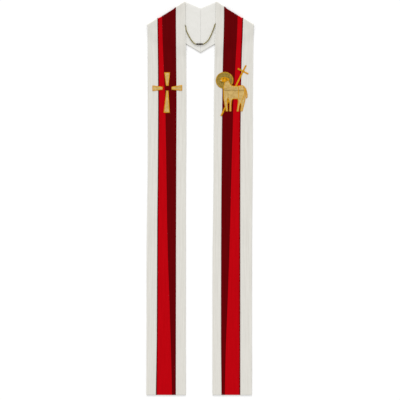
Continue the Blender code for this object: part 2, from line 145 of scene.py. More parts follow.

# %% [markdown]
# ## The lie of the cloth
# Cloth that lies on a table is never quite flat. Long low swells and a few finer creases stay in
# it from folding and handling. They are listed here, uneven in length, depth and spacing:
# where each one's middle is, which way it runs in degrees, how long and wide it is and how far it
# rises.

# %% Creases
CREASE_COLUMNS = ("where", "x", "y", "heading", "length", "width", "rise")
CREASES = (
    ("front", -158, -560, 97, 210, 30, 0.75),
    ("front", -88, -470, 84, 260, 24, 0.55),
    ("front", -128, -290, 92, 330, 34, 0.80),
    ("front", -70, -180, 95, 240, 18, 0.50),
    ("front", -166, -60, 86, 280, 22, 0.70),
    ("front", -96, 80, 93, 300, 30, 0.60),
    ("front", -148, 250, 88, 260, 26, 0.65),
    ("front", -120, -655, 12, 130, 14, 0.45),
    ("front", -150, -400, 24, 90, 7, -0.30),
    ("front", -100, 10, 158, 100, 8, -0.28),
    ("front", -112, 400, 90, 220, 30, 0.45),
    ("front", 168, -590, 84, 190, 26, 0.80),
    ("front", 86, -520, 94, 290, 26, 0.60),
    ("front", 130, -340, 89, 310, 32, 0.75),
    ("front", 60, -230, 92, 220, 16, 0.45),
    ("front", 160, -120, 95, 300, 24, 0.70),
    ("front", 100, 60, 87, 280, 28, 0.65),
    ("front", 150, 220, 92, 240, 24, 0.55),
    ("front", 118, -660, 170, 120, 12, 0.40),
    ("front", 120, -440, 152, 95, 8, -0.30),
    ("front", 140, -20, 22, 110, 8, -0.26),
    ("front", 110, 390, 90, 230, 32, 0.45),
    ("back", -22, 590, 68, 90, 9, 0.35),
    ("back", 12, 560, 100, 110, 12, 0.40),
    ("back", 30, 610, 118, 70, 7, 0.30),
    ("back", -8, 640, 80, 60, 8, 0.25),
)
print("creases on the fronts:", sum(row[0] == "front" for row in CREASES))

# %% [markdown]
# ## The height of the creases
# The cloth, its lining and the embroidery all take their height from that one table, so they stay
# together. A sculpting brush could raise the creases too, but then each layer would need its own
# strokes. A soft maximum with zero keeps the hollows from sinking the cloth into the table.

# %% Crease heights
CREASE_SOFTNESS = 0.08 * MM


def ease(x):
    """0 below 0, 1 above 1, and a smooth rise between."""
    x = np.clip(x, 0.0, 1.0)
    return x * x * (3 - 2 * x)


def mix(a, b, share):
    return a + (b - a) * share


def crease_lift(where, x, y):
    """How far the creases of the fronts or of the back raise the cloth at points of the plan."""
    total = 0.0 * x * y
    for row in CREASES:
        crease = dict(zip(CREASE_COLUMNS, row))
        if crease["where"] != where:
            continue
        turn = math.radians(crease["heading"])
        east, north = x - crease["x"] * MM, y - crease["y"] * MM
        ahead = east * math.cos(turn) + north * math.sin(turn)
        aside = north * math.cos(turn) - east * math.sin(turn)
        fading = np.clip(1 - (2 * ahead / (crease["length"] * MM)) ** 2, 0, 1) ** 2
        ridge = np.exp(-((aside / (crease["width"] * MM)) ** 2))
        total = total + crease["rise"] * MM * fading * ridge
    return (total + np.sqrt(total**2 + CREASE_SOFTNESS**2) - CREASE_SOFTNESS) / 2


print("highest crease:", max(row[-1] for row in CREASES), "mm")

# %% [markdown]
# ## The plan of one half
# Seen from above, each half is a set of seam lines that run from the hem to the shoulder fold.
# The fold slants, so the rows of the cloth start level at the hem and turn to the fold's angle on
# the way up. The back's two edges are straight lines from the ends of the fold to the centre
# seam.

# %% Plan
SMOOTHING = 41
SMOOTH_STEP = 2 * MM
SLANT_PASSES = 8


def smoothed(heights, outs):
    """A measured line with the corners at its sections rounded off."""
    margin = SMOOTHING // 2
    fine = np.arange(-margin, int(LENGTH / SMOOTH_STEP) + margin + 2) * SMOOTH_STEP
    straight = np.interp(fine, heights, outs)
    return fine[margin:-margin], np.convolve(straight, np.ones(SMOOTHING) / SMOOTHING, "valid")


class Plan:
    """The plan of one half. A point is out from the centre-back seam, and up from the hem."""

    def __init__(self, side, sign, sections):
        self.side = side
        self.sign = sign
        columns = dict(zip(SECTION_COLUMNS, np.array(sections).T * MM))
        heights = columns.pop("height")
        self.lines = {name: smoothed(heights, outs) for name, outs in columns.items()}
        self.neck_end, self.outer_end = (
            [float(v) for v in self.front_plan((line, line, 0.0, 0.0), 0.0)]
            for line in ("neck", "outer")
        )

    def seam(self, name, height):
        if name == "bright":
            return self.seam("edging", height) - EDGING_WIDTH
        return np.interp(height, *self.lines[name])

    def front_plan(self, lines, drop):
        """Where lines cross the rows that leave the neck edge this far below the fold."""
        inner, outer, share, clear = lines
        start = AXIS_HEIGHT - drop
        slope = math.tan(FOLD_ANGLE) * (1 - ease(drop / SLANT_REACH))
        dipped = 1 - ease(drop / DIP_REACH)
        neck = self.seam("neck", start)
        height = start + 0 * share
        for _ in range(SLANT_PASSES):
            out = mix(self.seam(inner, height) + clear, self.seam(outer, height) - clear, share)
            height = start - slope * (out - neck) - self.fold_dip(out) * dipped
        return out, height

    def fold_dip(self, out):
        """How far the shoulder fold dips across the thinner coloured bands."""
        rise = ease((out - self.seam("dark", AXIS_HEIGHT)) / DIP_RAMP)
        fall = ease((self.seam("edging", AXIS_HEIGHT) - out) / DIP_RAMP)
        return FOLD_DIP * rise * fall

    def back_lower(self, out):
        run = self.outer_end[0] - out
        flare = BACK_FLARE * (run / self.outer_end[0]) ** FLARE_POWER
        return self.outer_end[1] - math.tan(BACK_LOWER_ANGLE) * run - flare

    def back_neck(self, out):
        return self.neck_end[1] - math.tan(BACK_NECK_ANGLE) * (self.neck_end[0] - out)


print("smoothing spans", (SMOOTHING - 1) * SMOOTH_STEP, "m of a seam line")

# %% [markdown]
# ## The surface between face cloth and lining
# Every layer of the stole lies beside one middle surface, so this is the only surface that has to
# be worked out. It could be drawn by hand as a folded grid. Here it is calculated, row by row,
# from the hem to the fold and back to the centre seam, because every strip then follows the fold
# exactly.

# %% Middle surface
HEM_ROWS = np.array([0.0, 0.3, 0.8, 1.6, 2.8, 5.0]) * MM
ROW_STEP = 6 * MM
STRAIGHT_ROWS = np.arange(0.011, AXIS_HEIGHT - SLANT_REACH - ROW_STEP / 2, ROW_STEP)
SLANTED_DROPS = np.linspace(SLANT_REACH, FOLD_REACH, 54)
FOLD_DROPS = np.linspace(FOLD_REACH, 0.0, 12)[1:-1]
LEVEL_DROPS = AXIS_HEIGHT - np.concatenate([HEM_ROWS, STRAIGHT_ROWS])
FRONT_DROPS = np.concatenate([LEVEL_DROPS, SLANTED_DROPS, FOLD_DROPS])[:, None]
FOLD_TURNS = np.linspace(0.0, math.pi, 15)[:, None]
SEAM_SHARES = (0.973, 0.984, 0.992, 0.997, 1.0)
BACK_SHARES = np.concatenate([np.linspace(0, 0.96, 30)[1:], SEAM_SHARES])[:, None]
CREASE_FADE = 0.06
BACK_CREASE_REACH = 45 * MM
BACK_CREASE_FADE = 14 * MM
FAR = 1.0


class Half(Plan):
    """One half of the stole, with the levels at which its cloth lies."""

    def front_lift(self, out, height):
        """How far the front is raised by the back under it, the roll of the fold and creases."""
        beyond = (self.back_lower(out) - height) * math.cos(BACK_LOWER_ANGLE)
        axis = self.neck_end[1] - math.tan(FOLD_ANGLE) * (out - self.neck_end[0])
        below_fold = (axis - self.fold_dip(out) - height) * math.cos(FOLD_ANGLE)
        over_back = OVER_BACK * (1 - ease((beyond - DROP_START) / DROP_REACH))
        roll = FOLD_BULGE * (1 - ease(below_fold / FOLD_REACH))
        creases = crease_lift("front", SEAM_X + self.sign * out, HEM_Y + height)
        return over_back + roll + creases * ease(below_fold / CREASE_FADE)

    def back_lift(self, out, height):
        creases = crease_lift("back", SEAM_X + self.sign * out, HEM_Y + height)
        return creases * ease((BACK_CREASE_REACH - out) / BACK_CREASE_FADE)

    def world(self, out, height, level):
        return np.stack(np.broadcast_arrays(SEAM_X + self.sign * out, HEM_Y + height, level), -1)

    def fold_rows(self, out, height):
        away = FOLD_RADIUS * np.sin(FOLD_TURNS)
        level = BACK_LEVEL + FOLD_RADIUS * (1 + np.cos(FOLD_TURNS))
        east, north = away * math.sin(FOLD_ANGLE), away * math.cos(FOLD_ANGLE)
        return self.world(out + east, height + north, level)

    def back_plan(self, top_out):
        across = (top_out - self.neck_end[0]) / (self.outer_end[0] - self.neck_end[0])
        neck_out = mix(self.neck_end[0], GAP / 2, BACK_SHARES)
        lower_out = mix(self.outer_end[0], GAP / 2, BACK_SHARES)
        height = mix(self.back_neck(neck_out), self.back_lower(lower_out), across)
        dipped = 1 - ease(BACK_SHARES / BACK_DIP_SHARE)
        return mix(neck_out, lower_out, across), height - self.fold_dip(top_out) * dipped

    def middle(self, lines):
        """The middle surface as rows of points, and how far each is from the strip's sides."""
        inner, outer = lines[:2]
        out, height = self.front_plan(lines, FRONT_DROPS)
        top_out, top_height = self.front_plan(lines, np.zeros((1, 1)))
        back_out, back_height = self.back_plan(top_out)
        points = np.concatenate([
            self.world(out, height, FRONT_LEVEL + self.front_lift(out, height)),
            self.fold_rows(top_out, top_height),
            self.world(back_out, back_height, BACK_LEVEL + self.back_lift(back_out, back_height)),
        ])
        later = len(FOLD_TURNS) + len(BACK_SHARES)

        def onwards(on_front, at_fold):
            """Distances on the front, and the one at the fold for every later row."""
            return np.concatenate([on_front, np.repeat(at_fold, later, 0)])

        def beside(name, sign):
            on_front = sign * (out - self.seam(name, height))
            return onwards(on_front, sign * (top_out - self.seam(name, top_height)))

        near = {
            "inner": beside(inner, 1),
            "outer": beside(outer, -1),
            "hem": onwards(height, np.full_like(top_out, FAR)),
            "centre": np.full(points.shape[:2], FAR),
        }
        near["centre"][-len(BACK_SHARES):] = back_out
        return points, near

    def face_top(self, x, y):
        """The level of the face cloth's top on the front."""
        lift = self.front_lift(self.sign * (x - SEAM_X), y - HEM_Y)
        return FRONT_LEVEL + lift + GAP / 2 + FACE

    def back_top(self, x, y):
        """The level of the lining's top on the back, between the fronts."""
        lift = self.back_lift(self.sign * (x - SEAM_X), y - HEM_Y)
        return BACK_LEVEL + lift + GAP / 2 + LINING


LEFT = Half("left", -1, LEFT_SECTIONS)
RIGHT = Half("right", 1, RIGHT_SECTIONS)
print("rows along a strip:", len(FRONT_DROPS) + len(FOLD_TURNS) + len(BACK_SHARES))

# %% [markdown]
# ## Finishes
# A finish is a node tree, and its shader's constants sit on the shader's own sockets. A few small
# helpers build the parts that every finish here needs: noise whose grains have a stated size, a
# colour between two colours, the ridges of threads, and a relief.

# %% Finish helpers
CLOTH_MAP = "cloth_map"
WAVE_UNIT = math.tau / 20


def add_node(tree, kind, inputs, **settings):
    """A node with its settings. Each input is joined to another's output or set to a value."""
    node = tree.nodes.new(kind)
    for name, value in settings.items():
        setattr(node, name, value)
    for name, value in inputs.items():
        if isinstance(value, bpy.types.NodeSocket):
            tree.links.new(value, node.inputs[name])
        else:
            node.inputs[name].default_value = value
    return node


def calculate(tree, operation, first, second):
    return add_node(tree, "ShaderNodeMath", {0: first, 1: second}, operation=operation).outputs[0]


def new_finish(name, **constants):
    """A material whose shader has these constants, with its tree and shader."""
    finish = bpy.data.materials.new(name)
    finish.use_nodes = True
    shader = finish.node_tree.nodes["Principled BSDF"]
    for socket, value in constants.items():
        shader.inputs[socket.replace("_", " ")].default_value = value
    return finish, finish.node_tree, shader


def stretched_noise(tree, place, size_across, size_along, detail=2.0):
    """Noise whose grains have these sizes in metres."""
    scale = (1 / size_across, 1 / size_along, 1 / size_across)
    placed = add_node(tree, "ShaderNodeMapping", {"Vector": place, "Scale": scale}).outputs[0]
    grains = {"Vector": placed, "Scale": 1.0, "Detail": detail}
    noise = add_node(tree, "ShaderNodeTexNoise", grains).outputs[0]
    spread = {"Value": noise, "From Min": 0.3, "From Max": 0.7}
    return add_node(tree, "ShaderNodeMapRange", spread).outputs[0]


def blended(tree, first, second, share):
    """Two patterns added in shares that make a whole."""
    kept = calculate(tree, "MULTIPLY", first, share)
    return calculate(tree, "ADD", kept, calculate(tree, "MULTIPLY", second, 1 - share))


def thread_ridges(tree, place, direction, thickness):
    waves = {"Vector": place, "Scale": WAVE_UNIT / thickness, "Distortion": 0.0}
    return add_node(tree, "ShaderNodeTexWave", waves, bands_direction=direction).outputs["Fac"]


def set_colour(tree, shader, tone, low, high):
    """The shader's colour: from low to high as the tone goes from 0 to 1."""
    mixed = {0: tone, 6: (*low, 1.0), 7: (*high, 1.0)}
    colour = add_node(tree, "ShaderNodeMix", mixed, data_type="RGBA").outputs[2]
    tree.links.new(colour, shader.inputs["Base Color"])


def set_relief(tree, shader, height, depth, strength):
    relief = {"Height": height, "Distance": depth, "Strength": strength}
    tree.links.new(add_node(tree, "ShaderNodeBump", relief).outputs[0], shader.inputs["Normal"])


print("finish helpers ready")

# %% [markdown]
# ## Pieces
# A piece is a mesh that rides on the stole's one body and has a slot for its finish. Shapes that
# are worked out as points and faces get their faces turned outwards in one place, so that no
# later cell has to think about the order of its corners.

# %% Piece helpers
def riding(name, mesh):
    """Adds a mesh to the scene as a piece that rides on the stole's body."""
    piece = bpy.data.objects.new(name, mesh)
    scene.collection.objects.link(piece)
    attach(piece, "root")
    return piece


def finished_piece(name, mesh, slot):
    mesh.materials.clear()
    mesh.materials.append(FINISHES[slot])
    mesh.shade_smooth()
    return riding(name, mesh)


def closed_mesh(name, points, faces, flat=None):
    """A mesh with its faces turned outwards, and its flat map if it has one."""
    mesh = bpy.data.meshes.new(name)
    mesh.from_pydata(np.asarray(points).tolist(), [], [list(face) for face in faces])
    if flat is not None:
        corners = np.empty(len(mesh.loops), dtype=np.int32)
        mesh.loops.foreach_get("vertex_index", corners)
        on_map = flat[corners].astype(np.float32).ravel()
        mesh.uv_layers.new(name=CLOTH_MAP).data.foreach_set("uv", on_map)
    shape = bmesh.new()
    shape.from_mesh(mesh)
    bmesh.ops.recalc_face_normals(shape, faces=shape.faces)
    shape.to_mesh(mesh)
    shape.free()
    return mesh


print("piece helpers ready")

# %% [markdown]
# ## Trees that follow a path
# Links of a chain and stitches of a border are both one small shape repeated along a line. Their
# Geometry Nodes trees start alike: the path becomes a curve, which is cut into equal steps, and
# the curve's direction gives each copy its rotation. They end alike too: the copies are made real
# and get their finish. Only what stands at each step differs, so these helpers hold the rest.

# %% Path trees
REACH = "stitch_reach"


def path_tree(name, sizes, result):
    """A tree with named inputs that walks along a path. Returns its inputs, steps and rotation."""
    tree = bpy.data.node_groups.new(name, "GeometryNodeTree")
    kinds = {"Path": "Geometry", "Pitch": "Float", **sizes, "Finish": "Material"}
    for title, kind in kinds.items():
        tree.interface.new_socket(title, in_out="INPUT", socket_type=f"NodeSocket{kind}")
    tree.interface.new_socket(result, in_out="OUTPUT", socket_type="NodeSocketGeometry")
    given = tree.nodes.new("NodeGroupInput").outputs
    line = add_node(tree, "GeometryNodeMeshToCurve", {"Mesh": given["Path"]}).outputs[0]
    walk = {"Curve": line, "Length": given["Pitch"]}
    steps = add_node(tree, "GeometryNodeResampleCurve", walk, mode="LENGTH").outputs[0]
    tangent = {"Vector": add_node(tree, "GeometryNodeInputTangent", {}).outputs[0]}
    along = add_node(
        tree, "FunctionNodeAlignRotationToVector", tangent, axis="X", pivot_axis="Z"
    ).outputs[0]
    return tree, given, steps, along


def vector(tree, **parts):
    return add_node(tree, "ShaderNodeCombineXYZ", parts).outputs[0]


def swept(tree, line, thickness, sides):
    """A round thread or wire along a line."""
    round_section = {"Resolution": sides, "Radius": calculate(tree, "MULTIPLY", thickness, 0.5)}
    section = add_node(tree, "GeometryNodeCurvePrimitiveCircle", round_section).outputs[0]
    sweep = {"Curve": line, "Profile Curve": section, "Fill Caps": True}
    thread = add_node(tree, "GeometryNodeCurveToMesh", sweep).outputs[0]
    return add_node(tree, "GeometryNodeSetShadeSmooth", {"Geometry": thread}).outputs[0]


def turned_by(tree, rotation, **angles):
    """A rotation turned further, about its own axes."""
    local = add_node(tree, "FunctionNodeEulerToRotation", {0: vector(tree, **angles)}).outputs[0]
    both = {0: rotation, 1: local}
    return add_node(
        tree, "FunctionNodeRotateRotation", both, rotation_space="LOCAL"
    ).outputs[0]


def copied(tree, steps, **placing):
    return add_node(tree, "GeometryNodeInstanceOnPoints", {"Points": steps, **placing}).outputs[0]


def finish_tree(tree, copies, finish):
    real = add_node(tree, "GeometryNodeRealizeInstances", {"Geometry": copies}).outputs[0]
    dressing = {"Geometry": real, "Material": finish}
    dressed = add_node(tree, "GeometryNodeSetMaterial", dressing).outputs[0]
    add_node(tree, "NodeGroupOutput", {0: dressed})


def grown(name, tree, paths, inputs, reach=1.0, closed=False):
    """Runs a tree on paths of points, and keeps the result as a plain piece."""
    points, edges = [], []
    for path in paths:
        first = len(points)
        points.extend(np.asarray(path, dtype=float).tolist())
        edges.extend((i, i + 1) for i in range(first, len(points) - 1))
        if closed:
            edges.append((len(points) - 1, first))
    guide = bpy.data.meshes.new(f"{name}_guide")
    guide.from_pydata(points, edges, [])
    widths = np.broadcast_to(reach, len(points)).astype(np.float32)
    guide.attributes.new(REACH, "FLOAT", "POINT").data.foreach_set("value", widths)
    carrier = bpy.data.objects.new(f"{name}_guide", guide)
    scene.collection.objects.link(carrier)
    modifier = carrier.modifiers.new("stitches", "NODES")
    modifier.node_group = tree
    for item in tree.interface.items_tree:
        if item.in_out == "INPUT" and item.name in inputs:
            modifier[item.identifier] = inputs[item.name]
    graph = bpy.context.evaluated_depsgraph_get()
    mesh = bpy.data.meshes.new_from_object(
        carrier.evaluated_get(graph), preserve_all_data_layers=True, depsgraph=graph
    )
    carrier.modifiers.remove(modifier)
    bpy.data.objects.remove(carrier)
    mesh.name = name
    print(f"{name}: {sum(len(face.vertices) - 2 for face in mesh.polygons)} triangles")
    return riding(name, mesh)


print("path trees ready")

# %% [markdown]
# ## The hanging chain
# A fine chain of oval links joins the neck edges, with a small dark bar at its middle. Its route
# is a free hanging curve that has been laid down on the back, so it sits on the lining. The
# route's table gives millimetres out from the bar's middle and up from it, and a smooth curve
# goes through them.

# %% Chain route
CHAIN_DIAMETER = 3.6 * MM
CHAIN_BAR = np.array((24.0, 5.8, 3.2)) * MM
CHAIN_BAR_CENTRE = np.array((-1.8, 538.9)) * MM
CHAIN_ROUTES = {
    "left": (
        (13.4, 0.0), (17.2, 1.9), (21.6, 5.6), (25.6, 10.0), (30.4, 16.8), (34.6, 23.8),
        (38.4, 30.9), (42.0, 38.2), (45.4, 45.5), (47.4, 53.0), (47.6, 60.0),
    ),
    "right": (
        (13.4, 0.0), (17.6, 2.0), (22.6, 5.7), (27.4, 10.3), (32.4, 16.6), (36.6, 23.8),
        (40.2, 31.0), (43.4, 38.4), (46.4, 46.0), (49.4, 53.8), (51.6, 60.5), (53.6, 67.5),
    ),
}
ROUTE_STEP = 2 * MM
ROUTE_FINENESS = 33


def evenly_spaced(route, step):
    """Points a step apart along a smooth curve through the route, and the curve's length."""
    fine = []
    route = [Vector(p) for p in route]
    last = len(route) - 1
    for i in range(last):
        here, there = route[i], route[i + 1]
        leaving = (there - route[max(i - 1, 0)]) / 6
        arriving = (route[min(i + 2, last)] - here) / 6
        curve = interpolate_bezier(here, here + leaving, there - arriving, there, ROUTE_FINENESS)
        fine.extend(curve[:-1])
    fine = np.array([tuple(p) for p in [*fine, route[-1]]])
    runs = np.linalg.norm(np.diff(fine, axis=0), axis=1)
    lengths = np.concatenate([[0.0], np.cumsum(runs)])
    wanted = np.linspace(0, lengths[-1], max(2, round(lengths[-1] / step) + 1))
    points = np.stack([np.interp(wanted, lengths, fine[:, i]) for i in range(3)], -1)
    return points, float(lengths[-1])


def chain_side(half):
    """One side of the chain from the neck edge down to the bar, on the lining."""
    plan = CHAIN_BAR_CENTRE + np.array(CHAIN_ROUTES[half.side])[::-1] * (half.sign, 1.0) * MM
    level = half.back_top(plan[:, 0], plan[:, 1]) + GAP + CHAIN_DIAMETER / 2
    return evenly_spaced(np.column_stack([plan, level]).tolist(), ROUTE_STEP)


print("sides of the chain:", [round(chain_side(half)[1], 4) for half in (LEFT, RIGHT)], "m")

# %% [markdown]
# ## One link after another
# A chain is a rule repeated along a path, so a tree makes it. A circle is pulled out to an oval
# and swept with round wire. Odd and even links are tilted to opposite sides, as real links hang,
# so that each one passes through the next.

# %% Link tree
RING_POINTS = 14
WIRE_SIDES = 6


def link_tree():
    sizes = dict.fromkeys(("Link Length", "Link Width", "Wire", "Tilt"), "Float")
    tree, given, steps, along = path_tree("links_along_a_path", sizes, "Links")
    length = calculate(tree, "SUBTRACT", given["Link Length"], given["Wire"])
    width = calculate(tree, "SUBTRACT", given["Link Width"], given["Wire"])
    ring = {"Resolution": RING_POINTS, "Radius": 0.5}
    ring = add_node(tree, "GeometryNodeCurvePrimitiveCircle", ring).outputs[0]
    pulled = {"Geometry": ring, "Scale": vector(tree, X=length, Y=width, Z=1.0)}
    oval = add_node(tree, "GeometryNodeTransform", pulled).outputs[0]
    link = swept(tree, oval, given["Wire"], WIRE_SIDES)

    index = add_node(tree, "GeometryNodeInputIndex", {}).outputs[0]
    twice = calculate(tree, "MULTIPLY", calculate(tree, "MODULO", index, 2.0), 2.0)
    side = calculate(tree, "SUBTRACT", twice, 1.0)
    turned = turned_by(tree, along, X=calculate(tree, "MULTIPLY", side, given["Tilt"]))
    finish_tree(tree, copied(tree, steps, Instance=link, Rotation=turned), given["Finish"])
    return tree


LINKS = link_tree()
print("link tree nodes:", len(LINKS.nodes))

# %% [markdown]
# ## Metal finishes
# The chain is old brass and the bar is dark bronze. Worn metal is never one tone, so noise a few
# links wide moves its colour between two tones and gives it a shallow relief. The metal reads its
# place from Object coordinates, so the patches stay with the piece.

# %% Metal finishes
def metal_finish(name, low, high, grain, roughness, metallic):
    finish, tree, shader = new_finish(
        name, Roughness=roughness, Metallic=metallic, Specular_IOR_Level=0.4
    )
    place = add_node(tree, "ShaderNodeTexCoord", {}).outputs["Object"]
    patches = stretched_noise(tree, place, grain, grain, 3.0)
    set_colour(tree, shader, patches, low, high)
    set_relief(tree, shader, patches, 0.05 * MM, 0.5)
    return finish


METALS = {
    "chain_brass": ((0.165, 0.130, 0.006), (0.42, 0.345, 0.028), 1.6 * MM, 0.5, 0.8),
    "dark_bronze": ((0.020, 0.014, 0.009), (0.075, 0.055, 0.035), 2.4 * MM, 0.42, 0.6),
}
FINISHES = {name: metal_finish(name, *row) for name, row in METALS.items()}
print("metal finishes:", ", ".join(FINISHES))

# %% [markdown]
# ## The links
# The tree runs once on each side of the chain. The step from link to link is the link's length
# less two wires, which is how far apart links hang when the chain is pulled straight.

# %% Links
LINK_LENGTH = 5.0 * MM
LINK_WIDTH = 4.0 * MM
WIRE = 1.25 * MM
LINK_TILT = math.radians(42)

sides = {}
for half in (LEFT, RIGHT):
    path, length = chain_side(half)
    chain = grown(f"links_{half.side}", LINKS, [path], {
        "Pitch": LINK_LENGTH - 2 * WIRE, "Link Length": LINK_LENGTH, "Link Width": LINK_WIDTH,
        "Wire": WIRE, "Tilt": LINK_TILT, "Finish": FINISHES["chain_brass"],
    })
    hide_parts(f"chain_{half.side}")
    sides[half.side] = (chain, path, length)
    print(f"chain {half.side}: {length:.4f} m")

# %% [markdown]
# ## The bar and the rings
# The bar is cast with rounded ends and a ring at each one, where the chain hooks in. It is lofted
# from rounded sections that narrow at the ends. A cube with a Bevel modifier would keep flat
# faces that the real bar doesn't have. A ring is the same kind of loft, closed round on itself.

# %% Bar and ring shapes
BAR_SECTION_POINTS = 20
BAR_STATIONS = 15
BAR_CORNER = 0.55
BAR_WAIST = 0.10
RING_TURNS = 20
RING_SECTION = 8


def loft_faces(rings, count, closed):
    """The faces between rings of points, each ring after the last."""
    faces = []
    for i in range(rings if closed else rings - 1):
        here, there = i * count, (i + 1) % rings * count
        for j in range(count):
            k = (j + 1) % count
            faces.append((here + j, here + k, there + k, there + j))
    return faces


def bar_shape(centre):
    """The bar: sections along it, drawn in towards both ends, and a fan at each end."""
    length, depth, height = CHAIN_BAR
    turn = np.arange(BAR_SECTION_POINTS) * math.tau / BAR_SECTION_POINTS
    across, up = (np.sign(v) * np.abs(v) ** BAR_CORNER / 2 for v in (np.cos(turn), np.sin(turn)))
    points = []
    for station in np.sin(np.linspace(-math.pi / 2, math.pi / 2, BAR_STATIONS))[1:-1]:
        narrow = (1 - abs(station) ** 6) ** 0.5
        waist = 1 - BAR_WAIST * (1 - station**2)
        along = np.full_like(turn, station * length / 2)
        section = (along, across * depth * narrow * waist, up * height * narrow)
        points.extend(centre + np.stack(section, -1))
    faces = loft_faces(BAR_STATIONS - 2, BAR_SECTION_POINTS, False)
    for end, first in ((-1, 0), (1, len(points) - BAR_SECTION_POINTS)):
        tip = len(points) + (end + 1) // 2
        for j in range(BAR_SECTION_POINTS):
            faces.append((tip, first + j, first + (j + 1) % BAR_SECTION_POINTS))
    return [*points, centre - (length / 2, 0, 0), centre + (length / 2, 0, 0)], faces


def ring_shape(centre, outside, wire, tilt):
    """A small ring that lies flat and is turned up about its Y axis."""
    points = []
    for around in np.arange(RING_TURNS) * math.tau / RING_TURNS:
        for section in np.arange(RING_SECTION) * math.tau / RING_SECTION:
            reach = outside - wire / 2 + wire / 2 * math.cos(section)
            x, y = reach * math.cos(around), reach * math.sin(around)
            z = wire / 2 * math.sin(section)
            east = x * math.cos(tilt) - z * math.sin(tilt)
            up = x * math.sin(tilt) + z * math.cos(tilt)
            points.append(centre + (east, y, up))
    return points, loft_faces(RING_TURNS, RING_SECTION, True)


def joined(*shapes):
    points, faces = [], []
    for more_points, more_faces in shapes:
        faces.extend(tuple(len(points) + v for v in face) for face in more_faces)
        points.extend(more_points)
    return points, faces


print("bar sections:", BAR_STATIONS - 2)

# %% [markdown]
# ## Hooking the chain up
# The bar and its two rings are one piece. A small ring also sits at the neck end of each side,
# for the thread that ties it to the cloth. The chain's whole length is added up from its two
# sides and the bar.

# %% Bar, rings and cord
BAR_RING = (1.8 * MM, 0.8 * MM)
BAR_RING_TILT = 0.4
END_RING = (1.7 * MM, 0.6 * MM)
END_RING_TILT = 0.3

bar_level = BACK_LEVEL + GAP / 2 + LINING + GAP + CHAIN_BAR[2] / 2
bar_centre = np.array((*CHAIN_BAR_CENTRE, bar_level))
hook = np.array((CHAIN_BAR[0] / 2 + 0.3 * MM, 0.0, 0.0))
hooks = [ring_shape(bar_centre + side * hook, *BAR_RING, BAR_RING_TILT * side) for side in (-1, 1)]
bar = finished_piece(
    "hanger_bar", closed_mesh("hanger_bar", *joined(bar_shape(bar_centre), *hooks)), "dark_bronze"
)
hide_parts("chain_bar")

for half in (LEFT, RIGHT):
    name = f"end_ring_{half.side}"
    shape = ring_shape(sides[half.side][1][0], *END_RING, END_RING_TILT * half.sign)
    finished_piece(name, closed_mesh(name, *shape), "chain_brass")

chain, path, length = sides["left"]
chain, path, length = sides["right"]
whole = sum(length for _, _, length in sides.values()) + CHAIN_BAR[0]
print("whole chain:", round(float(whole), 3), "m")

# %% [markdown]
# ## Woven finishes
# All of the cloths here are woven, so one builder makes them: streaks that run with the warp,
# finer slubs, and a bump from the crossing threads. The patterns read the strip's own map, whose
# unit is the metre across and along, so the weave turns with the cloth at the fold. The red
# cloths reflect in red too, because white highlights would wash their colour out.

# %% Woven finishes
def woven_finish(name, low, high, streak, thread, depth, shine):
    """Cloth with streaks this wide and long, threads this thick and a relief this deep, in mm."""
    constants = dict(zip(("Roughness", "Specular_IOR_Level"), shine[:2])) | shine[2]
    finish, tree, shader = new_finish(name, **constants)
    flat = add_node(tree, "ShaderNodeUVMap", {}, uv_map=CLOTH_MAP).outputs[0]
    wide, long = streak[0] * MM, streak[1] * MM
    streaks = stretched_noise(tree, flat, wide, long)
    slubs = stretched_noise(tree, flat, wide / 4, long / 8, 1.0)
    set_colour(tree, shader, blended(tree, streaks, slubs, 0.65), low, high)
    ridges = (thread_ridges(tree, flat, direction, thread * MM) for direction in "XY")
    weave = calculate(tree, "MAXIMUM", *ridges)
    relief = calculate(tree, "ADD", weave, calculate(tree, "MULTIPLY", slubs, 1.5))
    set_relief(tree, shader, relief, depth * MM, 0.6)
    return finish


BRIGHT_GLOSS = {"Specular_Tint": (0.6, 0.01, 0.02, 1.0)}
DARK_GLOSS = {"Specular_Tint": (0.3, 0.01, 0.02, 1.0)}
CLOTHS = {
    "ivory_cloth": (
        (0.640, 0.620, 0.566), (0.752, 0.735, 0.682), (4, 160), 1.1, 0.12,
        (0.85, 0.2, {"Sheen_Weight": 0.08}),
    ),
    "lining_cloth": (
        (0.735, 0.724, 0.682), (0.768, 0.758, 0.718), (14, 90), 0.5, 0.04,
        (0.45, 0.25, {"Sheen_Weight": 0.03}),
    ),
    "bright_red_cloth": (
        (0.42, 0.0010, 0.0036), (0.51, 0.0014, 0.0050), (5, 110), 0.9, 0.10,
        (0.8, 0.25, BRIGHT_GLOSS),
    ),
    "dark_red_cloth": (
        (0.100, 0.0006, 0.0013), (0.134, 0.0009, 0.0020), (5, 110), 0.9, 0.10,
        (0.8, 0.25, DARK_GLOSS),
    ),
}
FINISHES |= {name: woven_finish(name, *row) for name, row in CLOTHS.items()}
print("woven finishes:", ", ".join(CLOTHS))

# %% [markdown]
# ## Edges and seams
# A real strip has a thickness, and its edges are never square: a turned edge is rounded, and
# beside a sewn seam the cloth dips into the seam and swells over the allowance that is pressed
# flat beneath. Each kind of edge is a profile: the share of the full thickness at a distance from
# the edge.

# %% Edge profiles
TURNED_NEAR = np.array([0.0, 0.15, 0.5, 1.1, 2.0, 3.4]) * MM
SEAM_NEAR = np.array([0.0, 0.5, 1.1, 2.0, 3.4]) * MM
TURNED_ROLL = 2.0 * MM
TURNED_SHARE = 0.30
SEAM_HALF = 1.0 * MM
SEAM_DEPTH = 0.55
PRESSED_DEPTH = 0.05
SWELLING = 0.13
SWELLING_AT, SWELLING_WIDTH = 4.5 * MM, 2.6 * MM
HEM_ALLOWANCE = 22 * MM
HEM_STEP = 3 * MM
HEM_SWELLING = 0.10


def turned_edge(distance):
    roll = 1 - np.clip(distance / TURNED_ROLL, 0, 1)
    return mix(TURNED_SHARE, 1.0, np.sqrt(1 - roll**2))


def seam_dip(distance):
    return np.exp(-((np.maximum(distance, 0.0) / SEAM_HALF) ** 1.5))


